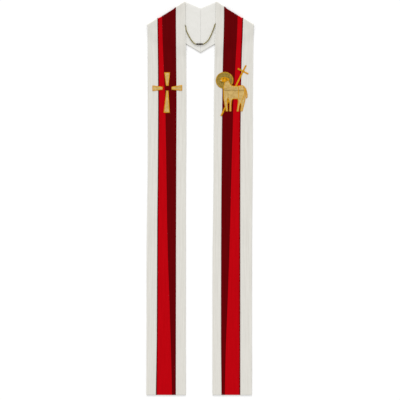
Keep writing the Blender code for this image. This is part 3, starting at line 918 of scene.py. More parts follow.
def sewn_edge(distance):
    """A narrow dip, and a soft swelling over the allowance."""
    swelling = SWELLING * np.exp(-(((distance - SWELLING_AT) / SWELLING_WIDTH) ** 2))
    return 1 - SEAM_DEPTH * seam_dip(distance) + swelling


def pressed_edge(distance):
    """The lining's centre-back seam, which is pressed open and lies nearly flat."""
    return 1 - PRESSED_DEPTH * seam_dip(distance)


def hem_and_centre(near):
    """The share of the full thickness that the hem and the centre-back seam leave."""
    turned_up = 1 + HEM_SWELLING * (1 - ease((near["hem"] - HEM_ALLOWANCE) / HEM_STEP))
    return turned_edge(near["hem"]) * turned_up * sewn_edge(near["centre"])


EDGES = {"turned": (TURNED_NEAR, turned_edge), "sewn": (SEAM_NEAR, sewn_edge)}
print("edge kinds:", ", ".join(EDGES))

# %% [markdown]
# ## From a surface to a piece of cloth
# A Solidify modifier would give the cloth one even thickness. Here each point of the middle
# surface moves along its own normal by a profile, once for each side, so the swelling and the dip
# come out too. The two sides and the walls between them make one closed piece, with its flat
# pattern as map.

# %% Cloth walls
def lines_across(inner, outer, near_inner, near_outer, between, clear):
    """Lengthwise lines from one seam to another, close together beside both edges."""
    last = max(near_inner[-1], near_outer[-1])
    shares = np.linspace(0, 1, between + 2)[1:-1]
    share = np.concatenate([0 * near_inner, shares, 1 + 0 * near_outer])
    clears = np.concatenate([near_inner, last + 0 * shares, near_outer[::-1]]) + clear
    return inner, outer, share[None, :], clears[None, :]


def surface_normals(points, sign):
    facing = sign * np.cross(np.gradient(points, axis=1), np.gradient(points, axis=0))
    return facing / np.linalg.norm(facing, axis=-1, keepdims=True)


def wall_faces(rows, lines):
    """The faces of a closed wall between two grids, the second one's points after the first's."""
    index = np.arange(rows * lines).reshape(rows, lines)
    below = index + rows * lines
    faces = []
    for grid in (index, below):
        corners = (grid[:-1, :-1], grid[:-1, 1:], grid[1:, 1:], grid[1:, :-1])
        faces.append(np.stack(corners, -1).reshape(-1, 4))
    for edge in ((0,), (-1,), (slice(None), 0), (slice(None), -1)):
        top, bottom = index[edge], below[edge]
        faces.append(np.stack((top[:-1], top[1:], bottom[1:], bottom[:-1]), -1))
    return np.concatenate(faces)


def flat_side(offset):
    """A side that keeps one distance from the middle surface."""
    return lambda near: offset + 0 * near["inner"]


def cloth_wall(name, half, lines, low, high, slot):
    """A closed wall between two offsets. Returns the piece, its flat size and its area."""
    points, near = half.middle(lines)
    normals = surface_normals(points, half.sign)
    walls = [points + normals * offset(near)[..., None] for offset in (high, low)]
    # The stole's own weight presses the swellings flat where the cloth lies face down.
    for wall in walls:
        wall[..., 2] = np.maximum(wall[..., 2], 0.0)
    lengthwise, crosswise = np.diff(points, axis=0), np.diff(points, axis=1)
    along = np.zeros(points.shape[:2])
    along[1:] = np.cumsum(np.linalg.norm(lengthwise, axis=-1), axis=0)
    flat = np.stack([near["inner"], along], -1).reshape(-1, 2)
    both = np.concatenate(walls).reshape(-1, 3)
    mesh = closed_mesh(name, both, wall_faces(*along.shape), np.concatenate([flat, flat]))
    faces = np.linalg.norm(np.cross(lengthwise[:, :-1], crosswise[:-1]), axis=-1)
    width = float((near["inner"][:, -1] - near["inner"][:, 0]).max())
    piece = finished_piece(name, mesh, slot)
    return piece, (width, float(along[-1].max())), float(faces.sum())


print("rows in a wall's side:", len(FRONT_DROPS) + len(FOLD_TURNS) + len(BACK_SHARES))

# %% [markdown]
# ## The strips of face cloth
# Four wide strips are sewn side by side in each half: ivory at the neck, dark red, bright red,
# and ivory again at the outer edge. Each is its own closed piece with its own weave, as it would
# be cut.

# %% Face strips
STRIP_COLUMNS = ("name", "inner", "outer", "inner_edge", "outer_edge", "between", "slot")
STRIPS = (
    ("ivory_neck_strip", "neck", "dark", "turned", "sewn", 8, "ivory_cloth"),
    ("dark_band", "dark", "join", "sewn", "sewn", 9, "dark_red_cloth"),
    ("bright_band", "join", "bright", "sewn", "sewn", 9, "bright_red_cloth"),
    ("ivory_outer_strip", "edging", "outer", "sewn", "turned", 8, "ivory_cloth"),
)
sheets = {}


def face_strip(half, row):
    strip = dict(zip(STRIP_COLUMNS, row))
    near_inner, inner_profile = EDGES[strip["inner_edge"]]
    near_outer, outer_profile = EDGES[strip["outer_edge"]]
    lines = lines_across(
        strip["inner"], strip["outer"], near_inner, near_outer, strip["between"], SEAM_CLEARANCE
    )

    def top(near):
        share = inner_profile(near["inner"] - SEAM_CLEARANCE)
        share = share * outer_profile(near["outer"] - SEAM_CLEARANCE)
        return GAP / 2 + FACE * share * hem_and_centre(near)

    name = f"{strip['name']}_{half.side}"
    made = cloth_wall(f"cloth_{name}", half, lines, flat_side(GAP / 2), top, strip["slot"])
    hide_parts(name)
    sheets[name] = made


for half in (LEFT, RIGHT):
    for row in STRIPS:
        face_strip(half, row)
for name, (_, (width, length), area) in sheets.items():
    print(f"{name}: cut {width:.4f} x {length:.4f} m, {area:.4f} square metres")

# %% [markdown]
# ## The edging
# Along the outer side of the bright band runs a narrow dark strip, folded double before it is
# sewn in. It stands up a little like a piping, so its cross-section is a low half round.

# %% Edging
EDGING_LINES = 9
EDGING_CUT = 10.4 * MM
EDGING_SIDE, EDGING_RISE = 0.35, 0.80


def edging_top(near):
    across = near["inner"] / EDGING_WIDTH
    round_top = np.sqrt(np.clip(1 - (2 * across - 1) ** 2, 0, 1))
    share = EDGING_SIDE + EDGING_RISE * round_top
    return GAP / 2 + FACE * share * hem_and_centre(near)


for half in (LEFT, RIGHT):
    share = np.linspace(0, 1, EDGING_LINES)[None, :]
    piece, (width, length), _ = cloth_wall(
        f"cloth_edging_{half.side}", half, ("bright", "edging", share, SEAM_CLEARANCE + 0 * share),
        flat_side(GAP / 2), edging_top, "dark_red_cloth",
    )
    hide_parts(f"edging_{half.side}")
    sheets[f"edging_{half.side}"] = (piece, (EDGING_CUT, length), EDGING_WIDTH * length)
    print(f"edging_{half.side}: {width:.4f} m shows")

# %% [markdown]
# ## The lining
# The lining is one smooth satin strip under each half, turned in a millimetre short of the edges
# and slip-stitched. It is seen from behind, and at the back of the neck between the fronts.

# %% Lining
LINING_BETWEEN = 34
LINING_NEAR = np.array([0.0, 0.2, 0.6, 1.3, 2.4]) * MM


def lining_underside(near):
    share = turned_edge(near["inner"] - LINING_INSET) * turned_edge(near["outer"] - LINING_INSET)
    return -GAP / 2 - LINING * share * turned_edge(near["hem"]) * pressed_edge(near["centre"])


for half in (LEFT, RIGHT):
    name = f"lining_{half.side}"
    lines = lines_across("neck", "outer", LINING_NEAR, LINING_NEAR, LINING_BETWEEN, LINING_INSET)
    sheets[name] = cloth_wall(
        f"satin_{name}", half, lines, lining_underside, flat_side(-GAP / 2),
        "lining_cloth",
    )
    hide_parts(name, f"lining_back_{half.side}")

for name, (piece, (width, length), area) in sheets.items():
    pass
print("sheets:", len(sheets), "and a lining is cut", [round(v, 4) for v in (width, length)])

# %% [markdown]
# ## Gold finishes
# The cross and the lamb's body are cut from gold brocade: pale metal threads over a darker
# ground, in a small broken figure. The borders are satin stitch, where every stitch catches the
# light a little differently. That light is painted: each stitch carries a painted sheen of its
# own as an attribute, and the finish mixes it with a random cloudy tone into the thread's colour.
# Metallic stays low, because the thread is silk and foil.

# %% Gold finishes
# The name of the attribute that holds each stitch's painted sheen.
STITCH_SHEEN = "painted_stitch_sheen"


def brocade_finish(name, low, high):
    finish, tree, shader = new_finish(
        name, Roughness=0.5, Metallic=0.15, Specular_IOR_Level=0.25,
        Specular_Tint=(0.9, 0.65, 0.3, 1.0),
    )
    place = add_node(tree, "ShaderNodeTexCoord", {}).outputs["Object"]
    figure = stretched_noise(tree, place, 3.2 * MM, 1.6 * MM, 3.0)
    clouds = stretched_noise(tree, place, 11 * MM, 9 * MM, 1.0)
    set_colour(tree, shader, blended(tree, figure, clouds, 0.6), low, high)
    threads = thread_ridges(tree, place, "Y", 0.7 * MM)
    relief = calculate(tree, "ADD", threads, calculate(tree, "MULTIPLY", figure, 2.0))
    set_relief(tree, shader, relief, 0.12 * MM, 0.7)
    return finish


def thread_finish(name, low, high, tint):
    """Stitches between two colours, from a painted sheen that each stitch has and a random cloudy
    tone.
    """
    finish, tree, shader = new_finish(
        name, Roughness=0.45, Metallic=0.0, Specular_IOR_Level=0.16, Specular_Tint=(*tint, 1.0)
    )
    # Each stitch's painted sheen, blended with a random cloudy tone, sets the thread's colour.
    painted_sheen = add_node(tree, "ShaderNodeAttribute", {}, attribute_name=STITCH_SHEEN).outputs["Fac"]
    place = add_node(tree, "ShaderNodeTexCoord", {}).outputs["Object"]
    clouds = stretched_noise(tree, place, 6 * MM, 6 * MM, 1.0)
    set_colour(tree, shader, blended(tree, painted_sheen, clouds, 0.6), low, high)
    return finish


THREADS = {
    "gold_satin": ((0.52, 0.225, 0.005), (0.86, 0.44, 0.014), (1.0, 0.55, 0.05)),
    "olive_satin": ((0.235, 0.155, 0.023), (0.52, 0.355, 0.078), (1.0, 0.75, 0.3)),
    "rim_satin": ((0.36, 0.195, 0.012), (0.68, 0.395, 0.035), (1.0, 0.65, 0.15)),
    "tie_thread": ((0.17, 0.145, 0.070), (0.38, 0.335, 0.185), (1.0, 0.95, 0.7)),
    "brown_satin": ((0.085, 0.040, 0.008), (0.16, 0.080, 0.020), (1.0, 0.7, 0.4)),
    "pale_satin": ((0.62, 0.42, 0.13), (0.82, 0.62, 0.26), (1.0, 0.8, 0.4)),
    "ivory_thread": ((0.55, 0.52, 0.46), (0.68, 0.65, 0.58), (1.0, 1.0, 0.9)),
}
FINISHES |= {name: thread_finish(name, *row) for name, row in THREADS.items()}
FINISHES["gold_brocade"] = brocade_finish(
    "gold_brocade", (0.42, 0.255, 0.058), (0.74, 0.535, 0.215)
)
print("threads:", ", ".join(THREADS))

# %% [markdown]
# ## Stitches by Geometry Nodes
# A satin border is hundreds of equal stitches, each a small arch of thread laid across a line.
# Modelling one and copying it by hand would be slow and could not be changed later. A tree does
# it instead: one arch at each step, turned across the path, with a painted sheen and a little
# unevenness of its own. Borders, filled shapes and slip stitches all come from it, because each
# point of a path says how wide it is stitched.

# %% Stitch tree
STITCH_POINTS = 4
THREAD_SIDES = 5
# Salts for a stitch's random lean, width and painted sheen.
SALTS = {"lean": 0.0, "width": 7.0, "painted_sheen": 13.0}


def stitch_tree():
    sizes = dict.fromkeys(("Stitch Length", "Thread", "Rise", "Lean", "Unevenness"), "Float")
    tree, given, steps, along = path_tree(
        "stitches_along_a_path", sizes | {"Seed": "Int"}, "Stitches"
    )

    def chance(least, most, what):
        """A random number for each step, from the seed and a salt of its own."""
        seed = calculate(tree, "ADD", given["Seed"], SALTS[what])
        inputs = {2: least, 3: most, "Seed": seed}
        return add_node(tree, "FunctionNodeRandomValue", inputs, data_type="FLOAT").outputs[1]

    half = calculate(tree, "MULTIPLY", given["Stitch Length"], 0.5)
    back = calculate(tree, "MULTIPLY", half, -1.0)
    peak = calculate(tree, "MULTIPLY", given["Rise"], 2.0)
    arch = add_node(tree, "GeometryNodeCurveQuadraticBezier", {
        "Resolution": STITCH_POINTS, "Start": vector(tree, Y=back),
        "Middle": vector(tree, Z=peak), "End": vector(tree, Y=half),
    }).outputs[0]
    stitch = swept(tree, arch, given["Thread"], THREAD_SIDES)

    most = given["Unevenness"]
    least = calculate(tree, "MULTIPLY", most, -1.0)
    lean = calculate(tree, "ADD", given["Lean"], chance(least, most, "lean"))
    reach = add_node(
        tree, "GeometryNodeInputNamedAttribute", {"Name": REACH}, data_type="FLOAT"
    ).outputs[0]
    ragged = calculate(tree, "ADD", chance(least, most, "width"), 1.0)
    size = vector(tree, X=1.0, Y=calculate(tree, "MULTIPLY", reach, ragged), Z=1.0)
    turned = turned_by(tree, along, Z=lean)
    laid = copied(tree, steps, Instance=stitch, Rotation=turned, Scale=size)
    # Each stitch gets a random painted sheen, which the thread finishes paint into its colour.
    painted_sheen_store = {"Geometry": laid, "Name": STITCH_SHEEN, "Value": chance(0.0, 1.0, "painted_sheen")}
    with_painted_sheen = add_node(
        tree, "GeometryNodeStoreNamedAttribute", painted_sheen_store, data_type="FLOAT", domain="INSTANCE"
    ).outputs[0]
    finish_tree(tree, with_painted_sheen, given["Finish"])
    return tree


STITCHES = stitch_tree()


def sewn(
    name, paths, finish, length, pitch=0.45, thread=0.55, rise=0.5, lean=0.0, uneven=0.06, seed=1,
    slot="gold_satin", reach=1.0, closed=False,
):
    """Stitches along paths. Sizes are in millimetres, and the lean in degrees."""
    return grown(name, STITCHES, paths, {
        "Pitch": pitch * MM, "Stitch Length": length * MM, "Thread": thread * MM,
        "Rise": rise * MM, "Lean": math.radians(lean), "Unevenness": uneven, "Seed": seed,
        "Finish": FINISHES[finish],
    }, reach, closed)


def on_level(outline, level, rise):
    """Points of the plan at a height above a level."""
    return np.column_stack([outline, level(outline[:, 0], outline[:, 1]) + rise])


print("stitch tree nodes:", len(STITCHES.nodes))

# %% [markdown]
# ## Slip stitches and ties
# The lining is held by slip stitches that take a thread from the turned cloth and one from the
# lining, about every six millimetres. The chain's end rings are tied to the neck edges with a few
# turns of thread. Both follow a line, so the stitch tree makes them too: under a front the
# stitches rise downwards, and on the back they rise upwards.

# %% Slip stitches and ties
LINING_EDGES = ("neck", "outer", np.array([[0.0, 1.0]]), np.full((1, 2), LINING_INSET))
TIES = {"left": ((-51.0, 599.0), (-52.2, 606.5)), "right": ((53.9, 606.0), (54.5, 611.0))}
SLIP_STITCHES = {
    "finish": "ivory_thread", "length": 1.8, "pitch": 6.0, "thread": 0.3, "lean": 35,
    "uneven": 0.2, "slot": "lining_cloth",
}

for half in (LEFT, RIGHT):
    edges, _ = half.middle(LINING_EDGES)
    under = edges[:len(FRONT_DROPS)] - (0, 0, GAP / 2 + 0.15 * MM)
    over = edges[-len(BACK_SHARES):] + (0, 0, GAP / 2 + 0.25 * MM)
    for part, rows, rise, seed in (("front", under, -0.12, 71), ("back", over, 0.12, 73)):
        paths = [rows[:, 0], rows[:, 1]]
        sewn(f"slip_stitches_{part}_{half.side}", paths, rise=rise, seed=seed, **SLIP_STITCHES)
    tie = on_level(np.array(TIES[half.side]) * MM, half.face_top, 0.05 * MM)
    sewn(f"chain_tie_{half.side}", [tie], "tie_thread", 2.8, pitch=0.6, rise=0.3, seed=75)

# %% [markdown]
# ## Padded patches
# Each gold shape is a patch of brocade over a thin padding. Its outline is drawn, its inside is
# filled with a net of points, and the net is raised towards the middle. A Solidify and a
# Subdivision Surface could raise a flat shape too, but they would round off the drawn corners.
# Here the distance from the outline gives the height, so the corners stay crisp.

# %% Outline tools
SHARPEST_CORNER = 0.45


def edge_distance(points, outline):
    """How far each point is from an outline."""
    starts, ends = outline, np.roll(outline, -1, axis=0)
    run = ends - starts
    least = np.full(len(points), 1e9)
    for start, step in zip(starts, run):
        share = np.clip(((points - start) @ step) / (step @ step), 0, 1)
        least = np.minimum(least, np.linalg.norm(points - start - share[:, None] * step, axis=1))
    return least


def is_inside(points, outline):
    x, y = points.T
    odd = np.zeros(len(points), dtype=bool)
    for (x0, y0), (x1, y1) in zip(outline, np.roll(outline, -1, axis=0)):
        if y0 != y1:
            odd ^= ((y0 > y) != (y1 > y)) & (x < (x1 - x0) * (y - y0) / (y1 - y0) + x0)
    return odd


def divided(outline, step):
    """An outline with extra points, so that none are further apart than a step."""
    found = []
    for start, end in zip(outline, np.roll(outline, -1, axis=0)):
        count = max(1, math.ceil(np.linalg.norm(end - start) / step))
        found.extend(start + (end - start) * i / count for i in range(count))
    return np.array(found)


def drawn_in(outline, inset):
    """The outline moved inwards by an inset, corner by corner."""
    following = np.roll(outline, -1, axis=0)
    after = following - outline
    after = after / np.linalg.norm(after, axis=1, keepdims=True)
    before = np.roll(after, 1, axis=0)
    turning = np.sum(outline[:, 0] * following[:, 1] - outline[:, 1] * following[:, 0])
    side = np.sign(turning) * np.array((-1.0, 1.0))
    inward = (before + after)[:, ::-1] * side
    inward = inward / np.linalg.norm(inward, axis=1, keepdims=True)
    sharpness = np.clip(np.sum(inward * before[:, ::-1] * side, axis=1), SHARPEST_CORNER, 1.0)
    return outline + inward * (inset / sharpness)[:, None]


print("outline tools ready")

# %% [markdown]
# ## From an outline to a padded patch
# The outline and a net of points inside it are joined into triangles, and the underside repeats
# them lower down. Walls close the rim. Every point finds the level of the cloth under it, so a
# patch lies over a crease as real cloth does.

# %% Patches
PATCH_STEP = 2.2 * MM
PATCH_SHOULDER = 3.2 * MM
LEAST_WIDTH = 10.1 * MM
LEAST_SHARE = 0.301


def filling(rim):
    """The outline and a staggered net of points inside it, joined into triangles."""
    low, high = rim.min(0), rim.max(0)
    across, up = np.meshgrid(*(np.arange(low[i], high[i], PATCH_STEP) for i in (0, 1)))
    stagger = 0.5 * PATCH_STEP * (np.arange(len(across)) % 2)
    net = np.stack([(across + stagger[:, None]).ravel(), up.ravel()], -1)
    net = net[is_inside(net, rim)]
    net = net[edge_distance(net, rim) > 0.5 * PATCH_STEP]
    flat = [Vector(p) for p in (np.concatenate([rim, net]) / MM).tolist()]
    made = delaunay_2d_cdt(flat, [], [list(range(len(rim)))], 1, 1e-5)
    return np.array([tuple(p) for p in made[0]]) * MM, [tuple(face) for face in made[2]]


def patch(name, outline, level, rises, slot, node):
    """A closed padded patch, and its area. It rises this far at its edge and in its middle."""
    rim = divided(outline, PATCH_STEP)
    plan, triangles = filling(rim)
    inward = np.clip(edge_distance(plan, rim) / PATCH_SHOULDER, 0, 1)
    base = level(plan[:, 0], plan[:, 1])
    top = base + mix(rises[0], rises[1], np.sqrt(1 - (1 - inward) ** 2)) * MM
    points = np.concatenate([np.column_stack([plan, top]), np.column_stack([plan, base])])
    count = len(plan)
    directed = {(a, b) for face in triangles for a, b in zip(face, face[1:] + face[:1])}
    rims = sorted((a, b) for a, b in directed if (b, a) not in directed)
    walls = [(a, b, b + count, a + count) for a, b in rims]
    under = [tuple(v + count for v in reversed(face)) for face in triangles]
    a, b, c = (plan[list(corner)] for corner in zip(*triangles))
    area = float(np.abs(np.cross(b - a, c - a)).sum()) / 2
    piece = finished_piece(name, closed_mesh(name, points, triangles + under + walls), slot)
    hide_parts(node)
    return piece, area


def declare_patch(made, outline, cut=None):
    """Works out a patch's cut rectangle, or takes the cut given, and its area, but keeps neither.
    """
    piece, area = made
    width, length = np.ptp(outline, axis=0) if cut is None else cut
    width, length = max(float(width), LEAST_WIDTH), max(float(length), LEAST_WIDTH)
    area = min(max(area, LEAST_SHARE * width * length), width * length)


print("patch tools ready")

# %% [markdown]
# ## The cross
# Four flared arms are cut from brocade and laid on the left front. They leave a square at the
# middle open, where the bands show. A raised satin border holds each arm down. A table gives each
# arm's heading in degrees, and in millimetres where it starts and ends, how wide both ends are
# and how far the wide end is set off its middle line.

# %% Cross
CROSS_CENTRE = np.array((-114.5, 384.5)) * MM
CROSS_COLUMNS = ("name", "heading", "start", "end", "narrow", "wide", "lean")
CROSS_ARMS = (
    ("cross_head", 90, 8.5, 55.5, 9.0, 19.6, -0.5),
    ("cross_foot", 270, 8.5, 85.8, 7.6, 21.3, 2.0),
    ("cross_arm_outer", 180, 16.0, 52.0, 10.0, 19.8, 0.0),
    ("cross_arm_inner", 0, 15.0, 52.0, 10.0, 20.5, -1.4),
)
BROCADE_RISES = (0.15, 0.85)
BORDER = 3.2
BORDER_INSET = 1.5 * MM
BORDER_LEVEL = 0.15 * MM


def arm_outline(arm):
    turn = math.radians(arm["heading"])
    narrow, wide, lean = arm["narrow"] / 2, arm["wide"] / 2, arm["lean"]
    start, end = arm["start"], arm["end"]
    corners = np.array([
        (start, -narrow), (end, -wide - lean), (end, wide - lean), (start, narrow),
    ]) * MM
    along = np.array((math.cos(turn), math.sin(turn)))
    across = np.array((-math.sin(turn), math.cos(turn)))
    return CROSS_CENTRE + corners[:, :1] * along + corners[:, 1:] * across


def on_left_cloth(x, y):
    return LEFT.face_top(x, y) + GAP


for number, row in enumerate(CROSS_ARMS):
    arm = dict(zip(CROSS_COLUMNS, row))
    name, outline = arm["name"], arm_outline(arm)
    made = patch(f"brocade_{name}", outline, on_left_cloth, BROCADE_RISES, "gold_brocade", name)
    path = on_level(drawn_in(outline, BORDER_INSET), on_left_cloth, BORDER_LEVEL)
    border = sewn(
        f"border_{name}", [path], "gold_satin", BORDER, rise=0.65, seed=11 + number, closed=True
    )
    declare_patch(made, outline)
print("cross arms:", len(CROSS_ARMS))

# %% [markdown]
# ## The lamb
# The lamb stands in side view, its head turned back to a haloed profile, with a cross staff
# behind its shoulder. The figure is drawn as outlines with corner points and rounded points, in
# millimetres from its middle. A traced curve object would do as well, but a table is easier to
# read and adjust.

# %% Outlines of the lamb
LAMB_CENTRE = np.array((115.5, 373.5)) * MM
HALO_CENTRE = np.array((-29.6, 38.6))
HALO_RADIUS = 30.8
HALO_SQUASH = np.array((1.0, 0.96))
HALO_POINTS = 96
BODY_OUTLINE = (
    (-29.5, 33.0), (-33.6, 10.0), (-33.6, -14.0), (-32.2, -32.0), (-24.8, -70.0), (-17.8, -70.0),
    (-19.2, -44.0), (-18.0, -24.4), (-12.3, -44.0), (-13.2, -70.0), (-6.2, -70.0), (-4.2, -32.0),
    (7.0, -26.8), (17.6, -31.5), (13.0, -70.0), (19.4, -70.0), (23.0, -50.0), (26.5, -42.0),
    (27.4, -52.0), (25.6, -70.0), (32.9, -70.0), (41.0, -38.0), (44.5, -14.0), (43.0, 10.0),
    (35.0, 20.5), (14.0, 19.0), (-4.0, 20.5), (-11.0, 30.0), (-15.0, 41.0),
)
BODY_CORNERS = (0, 4, 5, 9, 10, 14, 15, 19, 20, 28)
HEAD_OUTLINE = (
    (-45.5, 37.0), (-38.0, 33.5), (-28.0, 33.0), (-20.0, 37.0), (-13.0, 40.0), (-13.5, 44.5),
    (-21.0, 46.5), (-28.0, 50.0), (-37.0, 48.0), (-44.0, 42.5),
)
TAIL_OUTLINE = (
    (44.6, 12.5), (48.0, 2.0), (50.6, -10.0), (50.0, -21.0), (46.5, -24.5), (46.0, -14.0),
    (45.5, -2.0),
)
CURVE_STEPS = 6


def on_lamb(points):
    return LAMB_CENTRE + np.asarray(points, dtype=float) * MM


def smooth_outline(rows, corners=()):
    """A rounded outline. It heads the way that a point's neighbours lie, except at corners."""
    count = len(rows)
    points = [Vector(row) for row in rows]
    found = []
    for i in range(count):
        j = (i + 1) % count
        here, there = points[i], points[j]
        leaving = (there - (here if i in corners else points[i - 1])) / 6
        arriving = ((there if j in corners else points[(i + 2) % count]) - here) / 6
        steps = 1 if i in corners and j in corners else CURVE_STEPS
        curve = interpolate_bezier(here, here + leaving, there - arriving, there, steps + 1)
        found.extend(tuple(p) for p in curve[:-1])
    return on_lamb(found)


def ring(radius):
    turn = np.arange(HALO_POINTS) * math.tau / HALO_POINTS
    around = np.column_stack([np.cos(turn), np.sin(turn)])
    return on_lamb(HALO_CENTRE + radius * HALO_SQUASH * around)


BODY = smooth_outline(BODY_OUTLINE, BODY_CORNERS)
HEAD, TAIL = smooth_outline(HEAD_OUTLINE), smooth_outline(TAIL_OUTLINE)
HALO = ring(HALO_RADIUS)
print("outline points:", len(BODY), len(HEAD), len(TAIL), len(HALO))

# %% [markdown]
# ## The outline of the staff
# The staff is one long column with a short bar across it near the top, a little aslant. One
# outline goes round both, so they are cut as one piece. Its inner corners lie where an edge of
# the bar meets an edge of the shaft, which is worked out, because two drawn shapes would overlap
# there.

# %% Staff outline
STAFF_FOOT = np.array((-42.0, -86.0))
STAFF_TOP = np.array((45.5, 91.5))
STAFF_CROSSING = np.array((34.0, 71.0))
STAFF_BAR_HALF = 20.5
STAFF_BAR_TURN = math.radians(-27.0)
STAFF_WIDTH = 4.2

staff_length = float(np.linalg.norm(STAFF_TOP - STAFF_FOOT))
staff_along = (STAFF_TOP - STAFF_FOOT) / staff_length
staff_aside = np.array((staff_along[1], -staff_along[0]))
staff_centre = STAFF_FOOT + staff_along * ((STAFF_CROSSING - STAFF_FOOT) @ staff_along)
bar_along = np.array((math.cos(STAFF_BAR_TURN), math.sin(STAFF_BAR_TURN)))
bar_aside = np.array((-bar_along[1], bar_along[0]))


def staff_corner(side, level):
    """Where an edge of the bar meets an edge of the shaft."""
    step = (level - side * (staff_aside @ bar_aside)) / (staff_along @ bar_aside)
    return staff_centre + (staff_aside * side + staff_along * step) * STAFF_WIDTH / 2


def bar_corner(side, level):
    """A corner at an end of the bar."""
    return staff_centre + bar_along * STAFF_BAR_HALF * side + bar_aside * STAFF_WIDTH / 2 * level


half_width = staff_aside * STAFF_WIDTH / 2
STAFF = on_lamb([
    STAFF_FOOT - half_width, STAFF_FOOT + half_width,
    staff_corner(1, -1), bar_corner(1, -1), bar_corner(1, 1), staff_corner(1, 1),
    STAFF_TOP + half_width, STAFF_TOP - half_width,
    staff_corner(-1, 1), bar_corner(-1, 1), bar_corner(-1, -1), staff_corner(-1, -1),
])
print("staff length:", round(staff_length, 1), "mm")

# %% [markdown]
# ## One layer over another
# The halo, the staff and the tail are laid first, the body over them and the head last. Where
# cloth covers another piece it rises over that piece's edge in a short slope. So each later layer
# takes its level from the outlines that it covers, instead of from a fixed height that would
# float or sink.

# %% Layers of the lamb
SPREAD = 4.0 * MM
SPREAD_START = 0.3 * MM
COVERED = 1.0 * MM
BODY_TOP = 2.2 * MM


def resting(x, y, *below):
    """How high a piece lies above the gap over the face cloth, where others are under it."""
    points = np.column_stack([np.ravel(x), np.ravel(y)])
    level = np.zeros(len(points))
    for outline, height in below:
        away = np.where(is_inside(points, outline), 0.0, edge_distance(points, outline))
        level = np.maximum(level, height * (1 - ease((away - SPREAD_START) / SPREAD)))
    return level.reshape(np.shape(x))


def on_right_cloth(x, y):
    return RIGHT.face_top(x, y) + GAP


def under_body(x, y):
    covered = [(outline, COVERED) for outline in (HALO, STAFF, TAIL)]
    return on_right_cloth(x, y) + resting(x, y, *covered)


def under_head(x, y):
    return on_right_cloth(x, y) + resting(x, y, (HALO, COVERED), (BODY, BODY_TOP))


print("body rests", COVERED / MM, "mm higher where it covers the halo, the staff and the tail")

# %% [markdown]
# ## Halo, staff and tail
# The halo is filled with rings of radial satin stitches in an olive gold and edged in a brighter
# one. Each ring leans the other way from the last, so they catch the light in turn. The staff is
# a raised satin column with a bar across it, and the tail a small patch of brocade with a fine
# border.

# %% Halo, staff and tail
HALO_RINGS = ((6.0, 11.4), (11.4, 17.2), (17.2, 22.8), (22.8, 28.0))
RING_LEAN = 8
RIM_INSET = 1.6
FILL_LEVEL = 0.28 * MM
STAFF_INSET = 0.4
STAFF_LEVEL = 0.2 * MM
TAIL_INSET = 0.7 * MM


def backing(name, outline, level, middle_rise, node):
    """A thin patch that is hidden under stitches."""
    return patch(name, outline, level, (0.05, middle_rise), "gold_satin", node)


halo = backing("backing_halo", HALO, on_right_cloth, 0.30, "lamb_halo")
halo[0].data.materials[0] = FINISHES["olive_satin"]
fills = []
for number, (inner, outer) in enumerate(HALO_RINGS):
    path = on_level(ring((inner + outer) / 2), on_right_cloth, FILL_LEVEL)
    fills.append(sewn(
        f"halo_ring_{number + 1}", [path], "olive_satin", outer - inner + 0.3, pitch=0.62,
        thread=0.6, rise=0.18, lean=RING_LEAN * (-1) ** number, uneven=0.08, seed=31 + number,
        closed=True,
    ))
rim_path = on_level(ring(HALO_RADIUS - RIM_INSET), on_right_cloth, BORDER_LEVEL)
rim = sewn("halo_rim", [rim_path], "rim_satin", 3.4, rise=0.42, seed=37, closed=True)
declare_patch(halo, HALO)

staff = backing("backing_staff", STAFF, on_right_cloth, 0.25, "lamb_staff")
shaft_end = staff_along * STAFF_INSET
bar_reach = bar_along * (STAFF_BAR_HALF - STAFF_INSET)
lines = (
    (STAFF_FOOT + shaft_end, STAFF_TOP - shaft_end),
    (staff_centre - bar_reach, staff_centre + bar_reach),
)
paths = [on_level(on_lamb(line), on_right_cloth, STAFF_LEVEL) for line in lines]
thread = sewn("staff_stitches", paths, "gold_satin", STAFF_WIDTH + 1.2, rise=0.4, seed=41)
declare_patch(
    staff, STAFF,
    (LEAST_WIDTH, staff_length * MM),
)

tail = patch("brocade_tail", TAIL, on_right_cloth, (0.1, 0.5), "gold_brocade", "lamb_tail")
path = on_level(drawn_in(TAIL, TAIL_INSET), on_right_cloth, BORDER_LEVEL)
thread = sewn("tail_border", [path], "gold_satin", 1.7, rise=0.4, seed=43, closed=True)
declare_patch(tail, TAIL)
print("rings of stitches in the halo:", len(fills))

# %% [markdown]
# ## The lamb's body
# The body is a padded patch of brocade with a satin border. Fine brown stitches draw a shadow
# along the body and down the front leg, and gold ones mark the haunch. The stitch paths need
# points close together, or a long step would pass straight through the rise where the body lies
# over the staff.

# %% Body
SHADOW_LINES = (
    ((-30.0, 3.2), (-17.0, 3.8), (-4.0, 4.0), (10.0, 3.6), (24.0, 4.0), (38.5, 4.4)),
    ((-16.8, -24.0), (-17.6, -14.0), (-16.8, -6.0)),
)
HAUNCH_LINES = (
    ((18.9, 18.0), (19.6, 4.0), (19.0, -10.0), (20.4, -24.0)),
    ((36.5, 17.0), (39.8, 4.0), (39.4, -10.0), (33.0, -26.0), (29.5, -36.0)),
)
BODY_INSET = 1.3 * MM
BODY_STITCH_LEVEL = 0.85 * MM

body = patch("brocade_body", BODY, under_body, (0.15, 0.9), "gold_brocade", "lamb_body")
path = on_level(drawn_in(BODY, BODY_INSET), under_body, BORDER_LEVEL)
border = sewn("body_border", [path], "gold_satin", 3.1, rise=0.6, seed=51, closed=True)


def on_body(lines):
    """Stitch paths on the body, with points close enough together to follow the staff under it."""
    found = []
    for line in lines:
        plan, _ = evenly_spaced([(*point, 0.0) for point in on_lamb(line)], ROUTE_STEP)
        found.append(on_level(plan[:, :2], under_body, BODY_STITCH_LEVEL))
    return found


